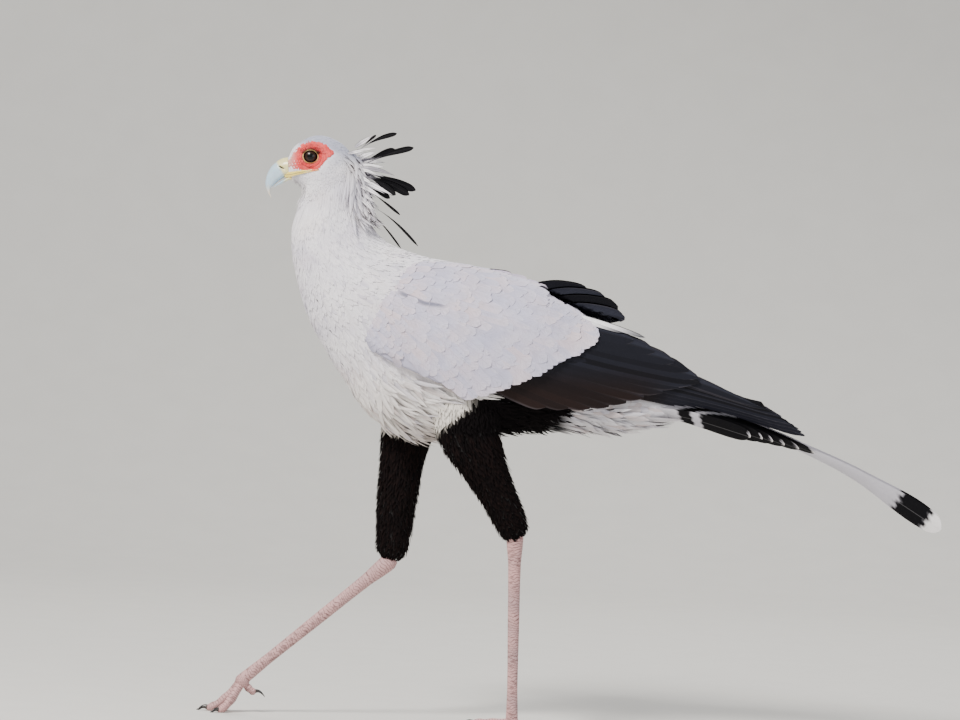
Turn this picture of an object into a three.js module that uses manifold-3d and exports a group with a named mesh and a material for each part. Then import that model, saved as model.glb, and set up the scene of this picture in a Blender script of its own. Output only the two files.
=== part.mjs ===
// A secretary bird in mid stride, life size, as a still museum model.
// Millimetres, +Z up, the floor is z = 0. The bird faces -X and its left side is -Y.
import * as THREE from "three";
import { mergeVertices } from "three/addons/utils/BufferGeometryUtils.js";
import Module from "manifold-3d";

const wasm = await Module();
wasm.setup();

// Driving dimensions
const GAP = 0.35; // between the faces of neighbouring nodes
const TARSUS = 288; // ankle to foot joint
const EYE = { x: -269, y: 17.2, z: 843, r: 12.6, lid: 14.6, open: 10.6, squint: 0.86 };
const VANE = 0.6; // thickness of a flight or tail feather
const PLATE = 3.4; // thickness of a covert, most of it sunk in the wing
const NODE_RING = 24; // points round a body section
const LIMB_RING = 12; // points round a leg section
const TOE_RING = 8;
const LEFT = -1;
const RIGHT = 1;

// The body from bill to tail root: each row is one flat section, given by its points
// on the back line and on the breast line (x, z) and its half width.
const BODY = [
  { at: "bill base", back: [-303, 840], front: [-300, 806], half: 14 },
  { at: "forehead", back: [-294, 857], front: [-290, 803], half: 22 },
  { at: "eyes", back: [-272, 872], front: [-284, 800], half: 29 },
  { at: "crown", back: [-250, 875], front: [-279, 794], half: 31 },
  { at: "occiput", back: [-222, 864], front: [-278, 788], half: 32 },
  { at: "nape", back: [-203, 842], front: [-281, 778], half: 32 },
  { at: "neck top", back: [-193, 812], front: [-286, 764], half: 33 },
  { at: "mid neck", back: [-182, 762], front: [-293, 728], half: 40 },
  { at: "neck base", back: [-150, 722], front: [-287, 676], half: 55 },
  { at: "shoulders", back: [-95, 703], front: [-264, 606], half: 72 },
  { at: "breast", back: [-45, 695], front: [-238, 560], half: 79 },
  { at: "chest", back: [5, 684], front: [-206, 513], half: 81 },
  { at: "belly", back: [55, 664], front: [-160, 455], half: 79 },
  { at: "flank", back: [105, 634], front: [-100, 432], half: 72 },
  { at: "rump", back: [150, 600], front: [-30, 438], half: 60 },
  { at: "vent", back: [185, 568], front: [72, 452], half: 46 },
  { at: "tail root", back: [218, 541], front: [150, 456], half: 34 },
  { at: "rump coverts", back: [252, 526], front: [208, 457], half: 31 },
  { at: "tail coverts", back: [290, 511], front: [260, 467], half: 26 },
  { at: "coverts' end", back: [332, 498], front: [318, 484], half: 12 },
];
const HEAD_END = 5.3; // stations where the body is parted
const NECK_END = 8.2;
const TORSO_END = 15;
const BODY_END = BODY.length - 1;

// The folded wing as a sheet over the flank: its lower and upper edge in the side view,
// and how far out it stands at its widest and at its upper edge, all against x.
const WING_LOW = [
  [-190, 595], [-165, 556], [-80, 516], [0, 487], [88, 478], [150, 476],
  [205, 488], [250, 505], [300, 512], [374, 504], [415, 492], [450, 478], [495, 457],
];
const WING_TOP = [
  [-190, 618], [-165, 664], [-110, 694], [0, 697], [85, 675], [140, 647],
  [180, 625], [227, 609], [293, 581], [350, 545], [414, 512], [450, 497], [495, 462],
];
const WING_OUT = [[-190, 60], [-140, 84], [-50, 94], [60, 89], [150, 70], [250, 50], [350, 36], [495, 27]];
const WING_RIDGE = [[-190, 50], [-120, 38], [-40, 22], [60, 9], [180, 8], [260, 14], [340, 18], [495, 20]];
const WING_FRONT = -190;
const WIDEST = 0.35; // share of the wing's height where it stands furthest out
// The rear edge of the grey coverts (x, z), from the lower edge up to the back.
const COVERT_EDGE = [[-15, 493], [61, 520], [124, 556], [172, 590], [148, 626], [104, 655], [66, 680]];
// How steeply the coverts lie, in degrees below the horizontal, along that edge.
const COVERT_LIE = [[0, 42], [0.3, 44], [0.5, 34], [0.75, 16], [1, 10]];

// Numbers read between keys by a smooth curve through them.
function through(keys, x) {
  const n = keys.length;
  if (x <= keys[0][0]) return keys[0][1];
  if (x >= keys[n - 1][0]) return keys[n - 1][1];
  const i = keys.findIndex((k) => k[0] > x) - 1;
  const slope = (j) => {
    const a = keys[Math.max(j - 1, 0)];
    const b = keys[Math.min(j + 1, n - 1)];
    return (b[1] - a[1]) / (b[0] - a[0]);
  };
  const [x0, y0] = keys[i];
  const [x1, y1] = keys[i + 1];
  const h = x1 - x0;
  const t = (x - x0) / h;
  return (
    y0 * (1 + 2 * t) * (1 - t) ** 2 +
    slope(i) * h * t * (1 - t) ** 2 +
    y1 * t * t * (3 - 2 * t) +
    slope(i + 1) * h * t * t * (t - 1)
  );
}

const lerp = THREE.MathUtils.lerp;
const vec = (x, y, z) => new THREE.Vector3(x, y, z);
const radians = THREE.MathUtils.degToRad;

// A point at share q of the way along a list of [x, z] points.
function along(points, q) {
  const keyed = (c) => points.map((p, i) => [i / (points.length - 1), p[c]]);
  return [through(keyed(0), q), through(keyed(1), q)];
}

// three.js geometry to a solid and back
function solid(geometry) {
  const bare = geometry.index ? geometry.toNonIndexed() : geometry.clone();
  bare.deleteAttribute("normal");
  bare.deleteAttribute("uv");
  const merged = mergeVertices(bare, 1e-4);
  const made = new wasm.Manifold(
    new wasm.Mesh({
      numProp: 3,
      vertProperties: new Float32Array(merged.attributes.position.array),
      triVerts: new Uint32Array(merged.index.array),
    }),
  );
  return made;
}

function join(solids) {
  return solids.reduce((a, b) => a.add(b));
}

// A node keeps only its largest closed surface.
function largest(made) {
  return made.decompose().reduce((a, b) => (b.volume() > a.volume() ? b : a));
}

function mesh(name, made, colour, roughness = 0.8) {
  const out = largest(made).getMesh();
  const geometry = new THREE.BufferGeometry();
  const position = new Float32Array(out.numVert * 3);
  for (let i = 0; i < out.numVert; i++) {
    position.set(out.vertProperties.subarray(i * out.numProp, i * out.numProp + 3), i * 3);
  }
  geometry.setAttribute("position", new THREE.BufferAttribute(position, 3));
  geometry.setIndex(new THREE.BufferAttribute(new Uint32Array(out.triVerts), 1));
  geometry.computeVertexNormals();
  const material = new THREE.MeshStandardMaterial({ color: colour, roughness, metalness: 0 });
  const node = new THREE.Mesh(geometry, material);
  node.name = name;
  return node;
}

// A closed surface from rings of points, all of the same count, with flat ends.
function loft(rings) {
  const count = rings[0].length;
  const points = rings.flat();
  const faces = [];
  for (let r = 0; r < rings.length - 1; r++) {
    for (let i = 0; i < count; i++) {
      const a = r * count + i;
      const b = r * count + ((i + 1) % count);
      faces.push(a, b, b + count, a, b + count, a + count);
    }
  }
  const last = (rings.length - 1) * count;
  for (let i = 1; i < count - 1; i++) {
    faces.push(0, i + 1, i, last, last + i, last + i + 1);
  }
  return closed(points, faces);
}

// A solid from points and faces, turned the right way out.
function closed(points, faces) {
  const geometry = new THREE.BufferGeometry().setFromPoints(points);
  geometry.setIndex(faces);
  const made = solid(geometry);
  if (made.volume() > 0) return made;
  for (let i = 0; i < faces.length; i += 3) [faces[i], faces[i + 1]] = [faces[i + 1], faces[i]];
  geometry.setIndex(faces);
  return solid(geometry);
}

// A sheet between two grids of points, rows by columns, split alike on both faces.
function sheet(top, bottom) {
  const rows = top.length;
  const cols = top[0].length;
  const points = [...top.flat(), ...bottom.flat()];
  const under = rows * cols;
  const faces = [];
  const quad = (a, b, c, d) => faces.push(a, b, c, a, c, d);
  for (let r = 0; r < rows - 1; r++) {
    for (let c = 0; c < cols - 1; c++) {
      const a = r * cols + c;
      quad(a, a + cols, a + cols + 1, a + 1);
      faces.push(under + a, under + a + cols + 1, under + a + cols);
      faces.push(under + a, under + a + 1, under + a + cols + 1);
    }
  }
  const wall = (a, b) => quad(a, b, under + b, under + a);
  for (let r = 0; r < rows - 1; r++) {
    wall((r + 1) * cols, r * cols);
    wall(r * cols + cols - 1, (r + 1) * cols + cols - 1);
  }
  for (let c = 0; c < cols - 1; c++) {
    wall(c, c + 1);
    wall((rows - 1) * cols + c + 1, (rows - 1) * cols + c);
  }
  return closed(points, faces);
}

// One flat section of the body at a station, which may lie between two rows.
function bodyRing(station, grow = 0) {
  const read = (pick) => through(BODY.map((row, i) => [i, pick(row)]), station);
  const back = vec(read((r) => r.back[0]), 0, read((r) => r.back[1]));
  const front = vec(read((r) => r.front[0]), 0, read((r) => r.front[1]));
  const half = read((r) => r.half) + grow;
  const centre = back.clone().add(front).multiplyScalar(0.5);
  const up = back.clone().sub(centre);
  up.setLength(up.length() + grow);
  return Array.from({ length: NODE_RING }, (_, i) => {
    const turn = (2 * Math.PI * i) / NODE_RING;
    return centre.clone().addScaledVector(up, Math.cos(turn)).add(vec(0, half * Math.sin(turn), 0));
  });
}

// The body between two stations; its flat ends are drawn in to part it from its neighbours.
function bodyLength(from, to, steps, { grow = 0, trim = [0, 0] } = {}) {
  const rings = Array.from({ length: steps + 1 }, (_, i) => bodyRing(lerp(from, to, i / steps), grow));
  const centreOf = (ring) => ring.reduce((a, p) => a.add(p), vec(0, 0, 0)).divideScalar(ring.length);
  const drawIn = (ring, next, by) => {
    const across = ring[0].clone().sub(ring[ring.length / 2]);
    const square = vec(-across.z, 0, across.x).normalize();
    const towards = Math.sign(square.dot(centreOf(next).sub(centreOf(ring))));
    ring.forEach((p) => p.addScaledVector(square, towards * by));
  };
  drawIn(rings[0], rings[1], trim[0]);
  drawIn(rings[steps], rings[steps - 1], trim[1]);
  return loft(rings);
}

// A limb through stations { p: [x, y, z], deep, wide }: deep is the radius fore and aft.
// grow makes it larger all round, its two ends included.
function limb(stations, sides, grow = 0) {
  const p = stations.map((s) => vec(...s.p));
  const last = p.length - 1;
  const [first, end] = [p[0].clone(), p[last].clone()];
  p[0].add(first.clone().sub(p[1]).setLength(grow));
  p[last].add(end.clone().sub(p[last - 1]).setLength(grow));
  const rings = stations.map((s, i) => {
    const way = p[Math.min(i + 1, p.length - 1)].clone().sub(p[Math.max(i - 1, 0)]).normalize();
    const side = vec(0, 1, 0).addScaledVector(way, -way.y).normalize();
    const fore = new THREE.Vector3().crossVectors(way, side);
    return Array.from({ length: sides }, (_, k) => {
      const turn = (2 * Math.PI * (k + 0.5)) / sides;
      return p[i]
        .clone()
        .addScaledVector(fore, (s.deep + grow) * Math.cos(turn))
        .addScaledVector(side, (s.wide + grow) * Math.sin(turn));
    });
  });
  return loft(rings);
}

function ball(centre, r, width, height) {
  return solid(new THREE.SphereGeometry(r, width, height).translate(...centre));
}

// Half of the space, as a block: what lies below the floor.
function underFloor() {
  return solid(new THREE.BoxGeometry(3000, 1000, 200).translate(0, 0, -100));
}

// Plumes of the crest: where each leaves the nape, where it ends (x, z), how far out its
// root and its tip lie (y, as a share of CREST_SPREAD), and the breadth of its club.
const CREST_SPREAD = 26;
const CREST_ON_HEAD = [
  { root: [-214, 852], tip: [-177, 882], y: [0.1, 0.15], club: 4.5 },
  { root: [-211, 848], tip: [-142, 884], y: [-0.2, -0.5], club: 8 },
  { root: [-210, 845], tip: [-150, 874], y: [0.35, 0.9], club: 8 },
  { root: [-208, 842], tip: [-146, 860], y: [-0.35, -0.8], club: 10 },
  { root: [-206, 838], tip: [-116, 866], y: [0.05, 0.15], club: 9 },
  { root: [-205, 834], tip: [-122, 846], y: [0.4, 1.1], club: 9 },
];
const CREST_ON_NECK = [
  { root: [-203, 822], tip: [-144, 823], y: [-0.5, -1.2], club: 5 },
  { root: [-202, 818], tip: [-128, 814], y: [0.4, 0.9], club: 9 },
  { root: [-202, 815], tip: [-111, 801], y: [-0.05, 0.1], club: 10 },
  { root: [-201, 808], tip: [-118, 788], y: [-0.4, -0.6], club: 10 },
  { root: [-199, 799], tip: [-134, 776], y: [0.3, 0.6], club: 8 },
  { root: [-197, 790], tip: [-131, 760], y: [-0.1, -0.15], club: 4 },
  { root: [-195, 781], tip: [-160, 752], y: [-0.5, -0.8], club: 7 },
  { root: [-192, 771], tip: [-154, 738], y: [0.35, 0.6], club: 6 },
  { root: [-188, 760], tip: [-131, 722], y: [0.05, 0.15], club: 3.5 },
];

// One plume: a narrow shaft that widens to a rounded club, in a nearly upright plane.
function plume({ root, tip, y, club }) {
  const start = vec(root[0], y[0] * CREST_SPREAD, root[1]);
  const end = vec(tip[0], y[1] * CREST_SPREAD, tip[1]);
  const way = end.clone().sub(start).normalize();
  const across = vec(0, 1, 0).cross(way).normalize();
  const out = way.clone().cross(across).normalize();
  const breadth = [0.32, 0.26, 0.36, 0.85, 1, 0.3];
  const place = [0, 0.3, 0.55, 0.75, 0.92, 1];
  const droop = 0.05 * end.distanceTo(start);
  const row = (k, face) =>
    [-1, 1].map((edge) =>
      start
        .clone()
        .lerp(end, place[k])
        .add(vec(0, 0, droop * Math.sin(Math.PI * place[k])))
        .addScaledVector(across, (edge * breadth[k] * club) / 2)
        .addScaledVector(out, face * (k < 2 ? 0.75 : 0.5)),
    );
  const rows = place.map((_, k) => k);
  return sheet(
    rows.map((k) => row(k, 1)),
    rows.map((k) => row(k, -1)),
  );
}

// The slit of the closed mouth, from the bill's base back under the eye.
function mouthSlit() {
  const line = [[-303, 811.2], [-285, 815.6], [-260, 820]];
  const high = 0.9;
  const shape = new THREE.Shape();
  shape.moveTo(line[0][0], line[0][1]);
  shape.lineTo(line[1][0], line[1][1]);
  shape.lineTo(line[2][0], line[2][1] + high / 2);
  shape.lineTo(line[1][0], line[1][1] + high);
  shape.lineTo(line[0][0], line[0][1] + high);
  shape.closePath();
  const depth = 80;
  const geometry = new THREE.ExtrudeGeometry(shape, { depth, bevelEnabled: false });
  geometry.rotateX(Math.PI / 2).translate(0, depth / 2, 0);
  return solid(geometry);
}

// The opening between the lids, a blunt cone widening outwards.
function lidOpening(side) {
  const geometry = new THREE.CylinderGeometry(EYE.open * 1.15, EYE.open * 0.9, 16, 16);
  if (side === LEFT) geometry.rotateX(Math.PI);
  geometry.scale(1, 1, EYE.squint).translate(EYE.x, side * (EYE.y + 13), EYE.z);
  return solid(geometry);
}

function head() {
  let made = bodyLength(0, HEAD_END, 10);
  for (const side of [LEFT, RIGHT]) {
    const centre = [EYE.x, side * EYE.y, EYE.z];
    made = made.add(ball(centre, EYE.lid, 16, 10));
    made = made.subtract(lidOpening(side)).subtract(ball(centre, EYE.r + GAP, 16, 10));
  }
  const neckSpace = bodyLength(HEAD_END, NECK_END, 7, { grow: GAP });
  return join([made.subtract(mouthSlit()), join(CREST_ON_HEAD.map(plume)).subtract(neckSpace)]);
}

function neck() {
  const headSpace = bodyLength(3, HEAD_END, 4, { grow: GAP });
  const plumes = join(CREST_ON_NECK.map(plume)).subtract(headSpace);
  return bodyLength(HEAD_END, NECK_END, 7, { trim: [GAP, GAP] }).add(plumes);
}

function torso(grow = 0) {
  return bodyLength(NECK_END, TORSO_END, 13, { grow, trim: [-grow, -grow] });
}

function eye(side) {
  return ball([EYE.x, side * EYE.y, EYE.z], EYE.r, 16, 10);
}

// A mandible as sections from its base to its tip: top and under point (x, z), half width.
function mandible(sections, roundness) {
  const sides = 12;
  return loft(
    sections.map(({ top, under, half }) => {
      const up = vec(top[0] - under[0], 0, top[1] - under[1]).multiplyScalar(0.5);
      const centre = vec((top[0] + under[0]) / 2, 0, (top[1] + under[1]) / 2);
      return Array.from({ length: sides }, (_, i) => {
        const turn = (2 * Math.PI * i) / sides;
        const rise = Math.cos(turn);
        const swell = rise < 0 ? Math.sqrt(1 - Math.abs(rise) ** roundness) : Math.abs(Math.sin(turn));
        return centre
          .clone()
          .addScaledVector(up, rise)
          .add(vec(0, Math.sign(Math.sin(turn)) * half * Math.max(swell, 0), 0));
      });
    }),
  );
}

const UPPER_BILL = [
  { top: [-303.4, 840], under: [-300.6, 812.4], half: 13.6 },
  { top: [-312, 837.5], under: [-306, 810.4], half: 12.6 },
  { top: [-321, 831.5], under: [-312.5, 806], half: 10.8 },
  { top: [-329, 822], under: [-318.5, 801], half: 8.6 },
  { top: [-334, 810], under: [-323, 796], half: 6.4 },
  { top: [-335, 797], under: [-327, 791], half: 4.4 },
  { top: [-331.5, 786.5], under: [-327, 784], half: 2.6 },
  { top: [-325.8, 777.6], under: [-325, 778.2], half: 0.8 },
];
const LOWER_BILL = [
  { top: [-300.8, 811.2], under: [-300.3, 805.6], half: 12 },
  { top: [-307, 808.3], under: [-307, 801.6], half: 10.2 },
  { top: [-315, 803], under: [-315, 797.6], half: 7.4 },
  { top: [-323.2, 794.6], under: [-323.4, 792.6], half: 3 },
];
const NOSTRIL = { x: -312, z: 824, y: 11.5, long: 9.5, high: 2.2, deep: 5, tilt: -24 };

function upperBill() {
  let made = mandible(UPPER_BILL, 5);
  for (const side of [LEFT, RIGHT]) {
    const slit = new THREE.SphereGeometry(0.5, 8, 6)
      .scale(NOSTRIL.long, NOSTRIL.deep, NOSTRIL.high)
      .rotateY(radians(NOSTRIL.tilt))
      .translate(NOSTRIL.x, side * NOSTRIL.y, NOSTRIL.z);
    made = made.subtract(solid(slit));
  }
  return made;
}

function lowerBill() {
  const above = solid(
    new THREE.BoxGeometry(60, 60, 40).rotateY(radians(-38)).translate(-322.6, 0, 821.8),
  );
  return mandible(LOWER_BILL, 2.4).subtract(above).subtract(mandible(UPPER_BILL, 5));
}

// How far out the wing's sheet stands at (x, z) in the side view.
function wingOut(x, z) {
  const low = through(WING_LOW, x);
  const top = through(WING_TOP, x);
  const s = THREE.MathUtils.clamp((z - low) / (top - low), -0.25, 1);
  const out = through(WING_OUT, x);
  const ridge = through(WING_RIDGE, x);
  if (s < WIDEST) return out * (1 - 0.1 * ((WIDEST - s) / WIDEST) ** 2);
  const rise = (s - WIDEST) / (1 - WIDEST);
  return lerp(ridge, out, Math.max(1 - rise ** 2.1, 0) ** 0.58);
}

// A point of the wing at (x, z), lift millimetres above its sheet, on one side.
function wingPoint(side, x, z, lift) {
  const step = 2;
  const slopeX = (wingOut(x + step, z) - wingOut(x - step, z)) / (2 * step);
  const slopeZ = (wingOut(x, z + step) - wingOut(x, z - step)) / (2 * step);
  const tame = (v) => THREE.MathUtils.clamp(v, -1.6, 1.6);
  const normal = vec(-tame(slopeX), 1, -tame(slopeZ)).normalize();
  const p = vec(x, wingOut(x, z), z).addScaledVector(normal, lift);
  return vec(p.x, side * Math.max(p.y, 1.2), p.z);
}

// The part of the wing under the coverts: shoulder, arm and hand as one thick sheet.
function wingArm(side) {
  const rows = 9;
  const cols = 7;
  const grid = (deep) =>
    Array.from({ length: rows + 1 }, (_, i) =>
      Array.from({ length: cols + 1 }, (_, j) => {
        const s = j / cols;
        const end = along(COVERT_EDGE, s)[0] - 14;
        const t = i / rows;
        const x = lerp(WING_FRONT, end, t ** 0.85);
        const z = lerp(through(WING_LOW, x), through(WING_TOP, x), 0.04 + 0.93 * s);
        return wingPoint(side, x, z, -deep * lerp(14, 7, t));
      }),
    );
  return sheet(grid(0.02), grid(1));
}

// A feather on the wing's sheet, from root to tip (x, z). lift gives its height above
// the sheet at root and tip, tilt lowers its upper edge under the feather above it.
function wingFeather(side, { root, tip, half, lift, thick, tilt = 0, bow = 0, shape }) {
  const dx = tip[0] - root[0];
  const dz = tip[1] - root[1];
  const long = Math.hypot(dx, dz);
  const across = [-dz / long, dx / long];
  const row = (t, wide, drop) =>
    [-1, 1].map((edge) => {
      const off = edge * wide * half + bow * Math.sin(Math.PI * t);
      const height = lerp(lift[0], lift[1], t) - drop - (edge > 0 ? tilt : 0);
      return wingPoint(side, root[0] + dx * t + across[0] * off, root[1] + dz * t + across[1] * off, height);
    });
  return sheet(
    shape.map(([t, wide]) => row(t, wide, 0)),
    shape.map(([t, wide]) => row(t, wide, thick)),
  );
}

const COVERT_SHAPE = [[0, 0.7], [0.6, 1], [1, 0.35]];
const FLIGHT_SHAPE = [[0, 0.25], [0.3, 0.6], [0.55, 1], [0.75, 1], [0.92, 0.8], [1, 0.25]];
const COVERT_TIERS = [
  { back: 0, long: 76, half: 22, count: 8, lift: 2.6 },
  { back: 50, long: 62, half: 22, count: 7, lift: 2.6 },
  { back: 94, long: 56, half: 22, count: 5, lift: 2.4 },
];

// Coverts in tiers, each a plate whose root is sunk in the arm and whose tip stands up.
function coverts(side) {
  return COVERT_TIERS.flatMap(({ back, long, half, count, lift }, tier) =>
    Array.from({ length: count }, (_, i) => {
      const q = (i + 0.35 + 0.15 * (tier % 2)) / count;
      const lie = radians(through(COVERT_LIE, q));
      const edge = along(COVERT_EDGE, q);
      const tip = [edge[0] - back * Math.cos(lie), edge[1] + back * Math.sin(lie) * 0.75];
      const root = [tip[0] - long * Math.cos(lie), tip[1] + long * Math.sin(lie)];
      return wingFeather(side, {
        root,
        tip,
        half,
        lift: [-2.8, lift],
        thick: PLATE,
        tilt: 0.9,
        shape: COVERT_SHAPE,
      });
    }),
  );
}

// Flight feathers by the place of the first and the last (x, z), and their heights on the
// wing's sheet: the secondaries lie over the primaries, each under the one above it.
const FLIGHT = [
  {
    count: 8,
    roots: [[-40, 545], [20, 575], [60, 620]],
    tips: [[104, 488], [180, 490], [240, 505], [300, 528], [332, 540], [300, 563], [228, 596]],
    half: 13,
    bow: 3,
    root: [-9.5, -3],
    tip: [-10.5, -3.2],
  },
  {
    count: 6,
    roots: [[80, 566], [40, 548]],
    tips: [[420, 510], [458, 499], [482, 483], [494, 466]],
    half: 10,
    bow: 17,
    root: [-4, -9.4],
    tip: [-11.6, -17],
  },
];
const RAISED = [
  { root: [40, 640], tip: [186, 650], half: 17, lift: [-6, 13] },
  { root: [50, 622], tip: [215, 626], half: 17, lift: [-6, 9] },
];

function flight(side) {
  const rows = FLIGHT.flatMap(({ count, roots, tips, half, bow, root, tip }) =>
    Array.from({ length: count }, (_, i) => {
      const q = i / (count - 1);
      return wingFeather(side, {
        root: along(roots, q),
        tip: along(tips, q),
        half,
        lift: [lerp(root[0], root[1], q), lerp(tip[0], tip[1], q)],
        thick: VANE,
        bow,
        shape: FLIGHT_SHAPE,
      });
    }),
  );
  return side === LEFT ? rows : [...rows, ...RAISED.map((f) => raisedFeather(side, f))];
}

// A ruffled feather that stands off the far wing's back.
function raisedFeather(side, { root, tip, half, lift }) {
  return wingFeather(side, { root, tip, half, lift, thick: VANE + 0.4, bow: 6, shape: FLIGHT_SHAPE });
}

function wing(side, torsoSpace) {
  return join([wingArm(side), ...coverts(side), ...flight(side)]).subtract(torsoSpace);
}

// The tail: its coverts' root, then pairs of feathers laid like a roof, the middle pair
// highest and much the longest. Each has a line from root to tip, and leans out by an angle.
const TAIL_PAIRS = [
  { tip: [508, 15, 438], drop: 2, lean: [14, 30] },
  { tip: [470, 24, 448], drop: 5, lean: [22, 40] },
  { tip: [444, 32, 456], drop: 9, lean: [30, 50] },
  { tip: [410, 38, 462], drop: 14, lean: [38, 58] },
];
const TAIL_HALF = 17;
const STREAMER = { line: [[286, 500], [377, 484], [477, 448], [564, 412], [640, 370], [704, 332]], half: 17.5 };
const STREAMER_SHAPE = [[0, 0.5], [0.25, 0.5], [0.5, 0.46], [0.7, 0.62], [0.86, 1], [0.96, 0.86], [1, 0.35]];
const TAIL_SHAPE = [[0, 0.5], [0.35, 0.85], [0.7, 1], [0.93, 0.85], [1, 0.4]];

// A vane along a curve, leaning about it from one angle (degrees) at its root to another.
function vane(points, half, lean, shape, thick = VANE) {
  const curve = new THREE.CatmullRomCurve3(points);
  const grid = (face) =>
    shape.map(([t, wide]) => {
      const way = curve.getTangentAt(t);
      const flat = vec(0, 1, 0).addScaledVector(way, -way.y).normalize();
      const up = flat.clone().cross(way).normalize();
      const turn = radians(lerp(lean[0], lean[1], t));
      const across = flat.clone().multiplyScalar(Math.cos(turn)).addScaledVector(up, Math.sin(turn));
      const out = across.clone().cross(way);
      return [-1, 1].map((edge) =>
        curve
          .getPointAt(t)
          .addScaledVector(across, edge * wide * half)
          .addScaledVector(out, (face * thick) / 2),
      );
    });
  return sheet(grid(1), grid(-1));
}

function tailPair(side, { tip, drop, lean }, i) {
  const root = vec(232, side * (5 + 3 * i), 512 - drop * 1.4);
  const end = vec(tip[0], side * tip[1], tip[2] - 1.2 * i);
  const middle = root.clone().lerp(end, 0.5).add(vec(0, side * 3, 7 - drop * 0.7));
  return vane([root, middle, end], TAIL_HALF, lean.map((a) => -side * a), TAIL_SHAPE);
}

function streamer(side) {
  const y = side === LEFT ? [-7, -9, -8, -7, -7, -7] : [3, 3, 2.5, 2, 2, 2];
  const points = STREAMER.line.map(([x, z], i) => vec(x, y[i], z + (side === LEFT ? 0 : 3)));
  points.unshift(vec(232, side * 4, side === LEFT ? 516 : 519));
  return vane(points, STREAMER.half, [side === LEFT ? 12 : 8, 74], STREAMER_SHAPE, 1);
}

function tail() {
  const feathers = [LEFT, RIGHT].flatMap((side) => [
    ...TAIL_PAIRS.map((pair, i) => tailPair(side, pair, i)),
    streamer(side),
  ]);
  const root = bodyLength(TORSO_END, BODY_END, 6, { trim: [GAP, 0] });
  return join([root, ...feathers]).subtract(torso(GAP));
}

// Legs. Each shank is the feathered thigh and shin; ankle and foot say where the bare leg runs.
const LEGS = {
  [LEFT]: {
    name: "left",
    thigh: [
      { p: [-22, -40, 505], deep: 62, wide: 34 },
      { p: [-15, -42, 462], deep: 55, wide: 33 },
      { p: [-7, -42, 432], deep: 47, wide: 31 },
      { p: [12, -41, 398], deep: 38, wide: 28 },
      { p: [34, -38, 358], deep: 30, wide: 25 },
      { p: [53, -36, 322], deep: 25, wide: 22 },
      { p: [63, -35, 300], deep: 22, wide: 19 },
      { p: [68, -35, 289], deep: 15, wide: 14 },
    ],
    ankle: [66, -35, 294],
    foot: [76, -14, 12],
    toeDrop: 0,
  },
  [RIGHT]: {
    name: "right",
    thigh: [
      { p: [-78, 40, 505], deep: 56, wide: 34 },
      { p: [-95, 42, 462], deep: 48, wide: 32 },
      { p: [-105, 42, 430], deep: 41, wide: 30 },
      { p: [-110, 40, 388], deep: 35, wide: 27 },
      { p: [-114, 38, 335], deep: 32, wide: 25 },
      { p: [-116, 37, 290], deep: 27, wide: 22 },
      { p: [-118, 36, 256], deep: 23, wide: 19 },
      { p: [-120, 36, 244], deep: 15, wide: 14 },
    ],
    ankle: [-121, 36, 238],
    foot: [-337, 22, 46],
    toeDrop: 34,
  },
};

// Where the bare leg is how thick: share of the way down, radius fore and aft, radius across.
const TARSUS_FORM = [
  [-0.03, 9, 8],
  [0.0, 12.6, 11],
  [0.06, 12, 10.4],
  [0.16, 9.6, 8.2],
  [0.5, 8.6, 7],
  [0.8, 7.8, 6.8],
  [0.91, 8.6, 8.2],
  [0.96, 9.2, 9.4],
];

function tarsus(leg, grow = 0) {
  const top = vec(...leg.ankle);
  const way = vec(...leg.foot).sub(top).setLength(TARSUS);
  const stations = TARSUS_FORM.map(([t, deep, wide]) => ({
    p: top.clone().addScaledVector(way, t).toArray(),
    deep,
    wide,
  }));
  return limb(stations, LIMB_RING, grow);
}

// Toes: bearing from straight ahead in degrees towards the midline, length, and claw.
const TOES = [
  { name: "inner", bearing: 34, long: 44, claw: 16, thick: 7 },
  { name: "middle", bearing: 2, long: 60, claw: 16, thick: 7.6 },
  { name: "outer", bearing: -32, long: 46, claw: 14, thick: 6.8 },
  { name: "hind", bearing: 172, long: 24, claw: 15, thick: 6 },
];
// Pads and joints along a toe: share of its length against share of its thickness.
const TOE_FORM = [[0, 1.05], [0.3, 0.88], [0.48, 1], [0.66, 0.84], [0.82, 0.94], [1, 0.6]];
const FOOT_END = 0.985; // of the tarsus, where the foot takes over
const PAD_RADIUS = 11; // of the pad under the joint, which the standing foot presses flat
const PAD_SINK = 1.8;

function toePoint(leg, side, toe, run) {
  const turn = radians(toe.bearing) * -side;
  const foot = footJoint(leg);
  const share = Math.min(run / toe.long, 1);
  const start = leg.toeDrop ? foot.z : toe.thick + 1;
  const floor = toe.thick * (leg.toeDrop ? 0.48 : 0.74);
  const hang = toe.name === "hind" ? 0.4 : 1;
  const reach = leg.toeDrop ? 0.86 : 1;
  const fall = 1 - (1 - share) ** 1.7;
  return vec(
    foot.x - Math.cos(turn) * run * reach,
    foot.y - Math.sin(turn) * run * reach,
    lerp(start, floor, leg.toeDrop ? fall * hang : share),
  );
}

function footJoint(leg) {
  const top = vec(...leg.ankle);
  const way = vec(...leg.foot).sub(top).setLength(TARSUS * FOOT_END);
  return top.add(way);
}

function toeBody(leg, side, toe, grow = 0) {
  const stations = TOE_FORM.map(([t, thick]) => ({
    p: toePoint(leg, side, toe, toe.long * t).toArray(),
    deep: toe.thick * thick,
    wide: toe.thick * thick,
  }));
  return limb(stations, TOE_RING, grow);
}

function foot(leg, side) {
  const joint = footJoint(leg);
  const pad = ball([joint.x, joint.y, leg.toeDrop ? joint.z - 2 : PAD_RADIUS - PAD_SINK], PAD_RADIUS, 12, 8);
  const toes = TOES.map((toe) => toeBody(leg, side, toe));
  return join([pad, ...toes]).subtract(tarsus(leg, GAP)).subtract(underFloor());
}

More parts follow.
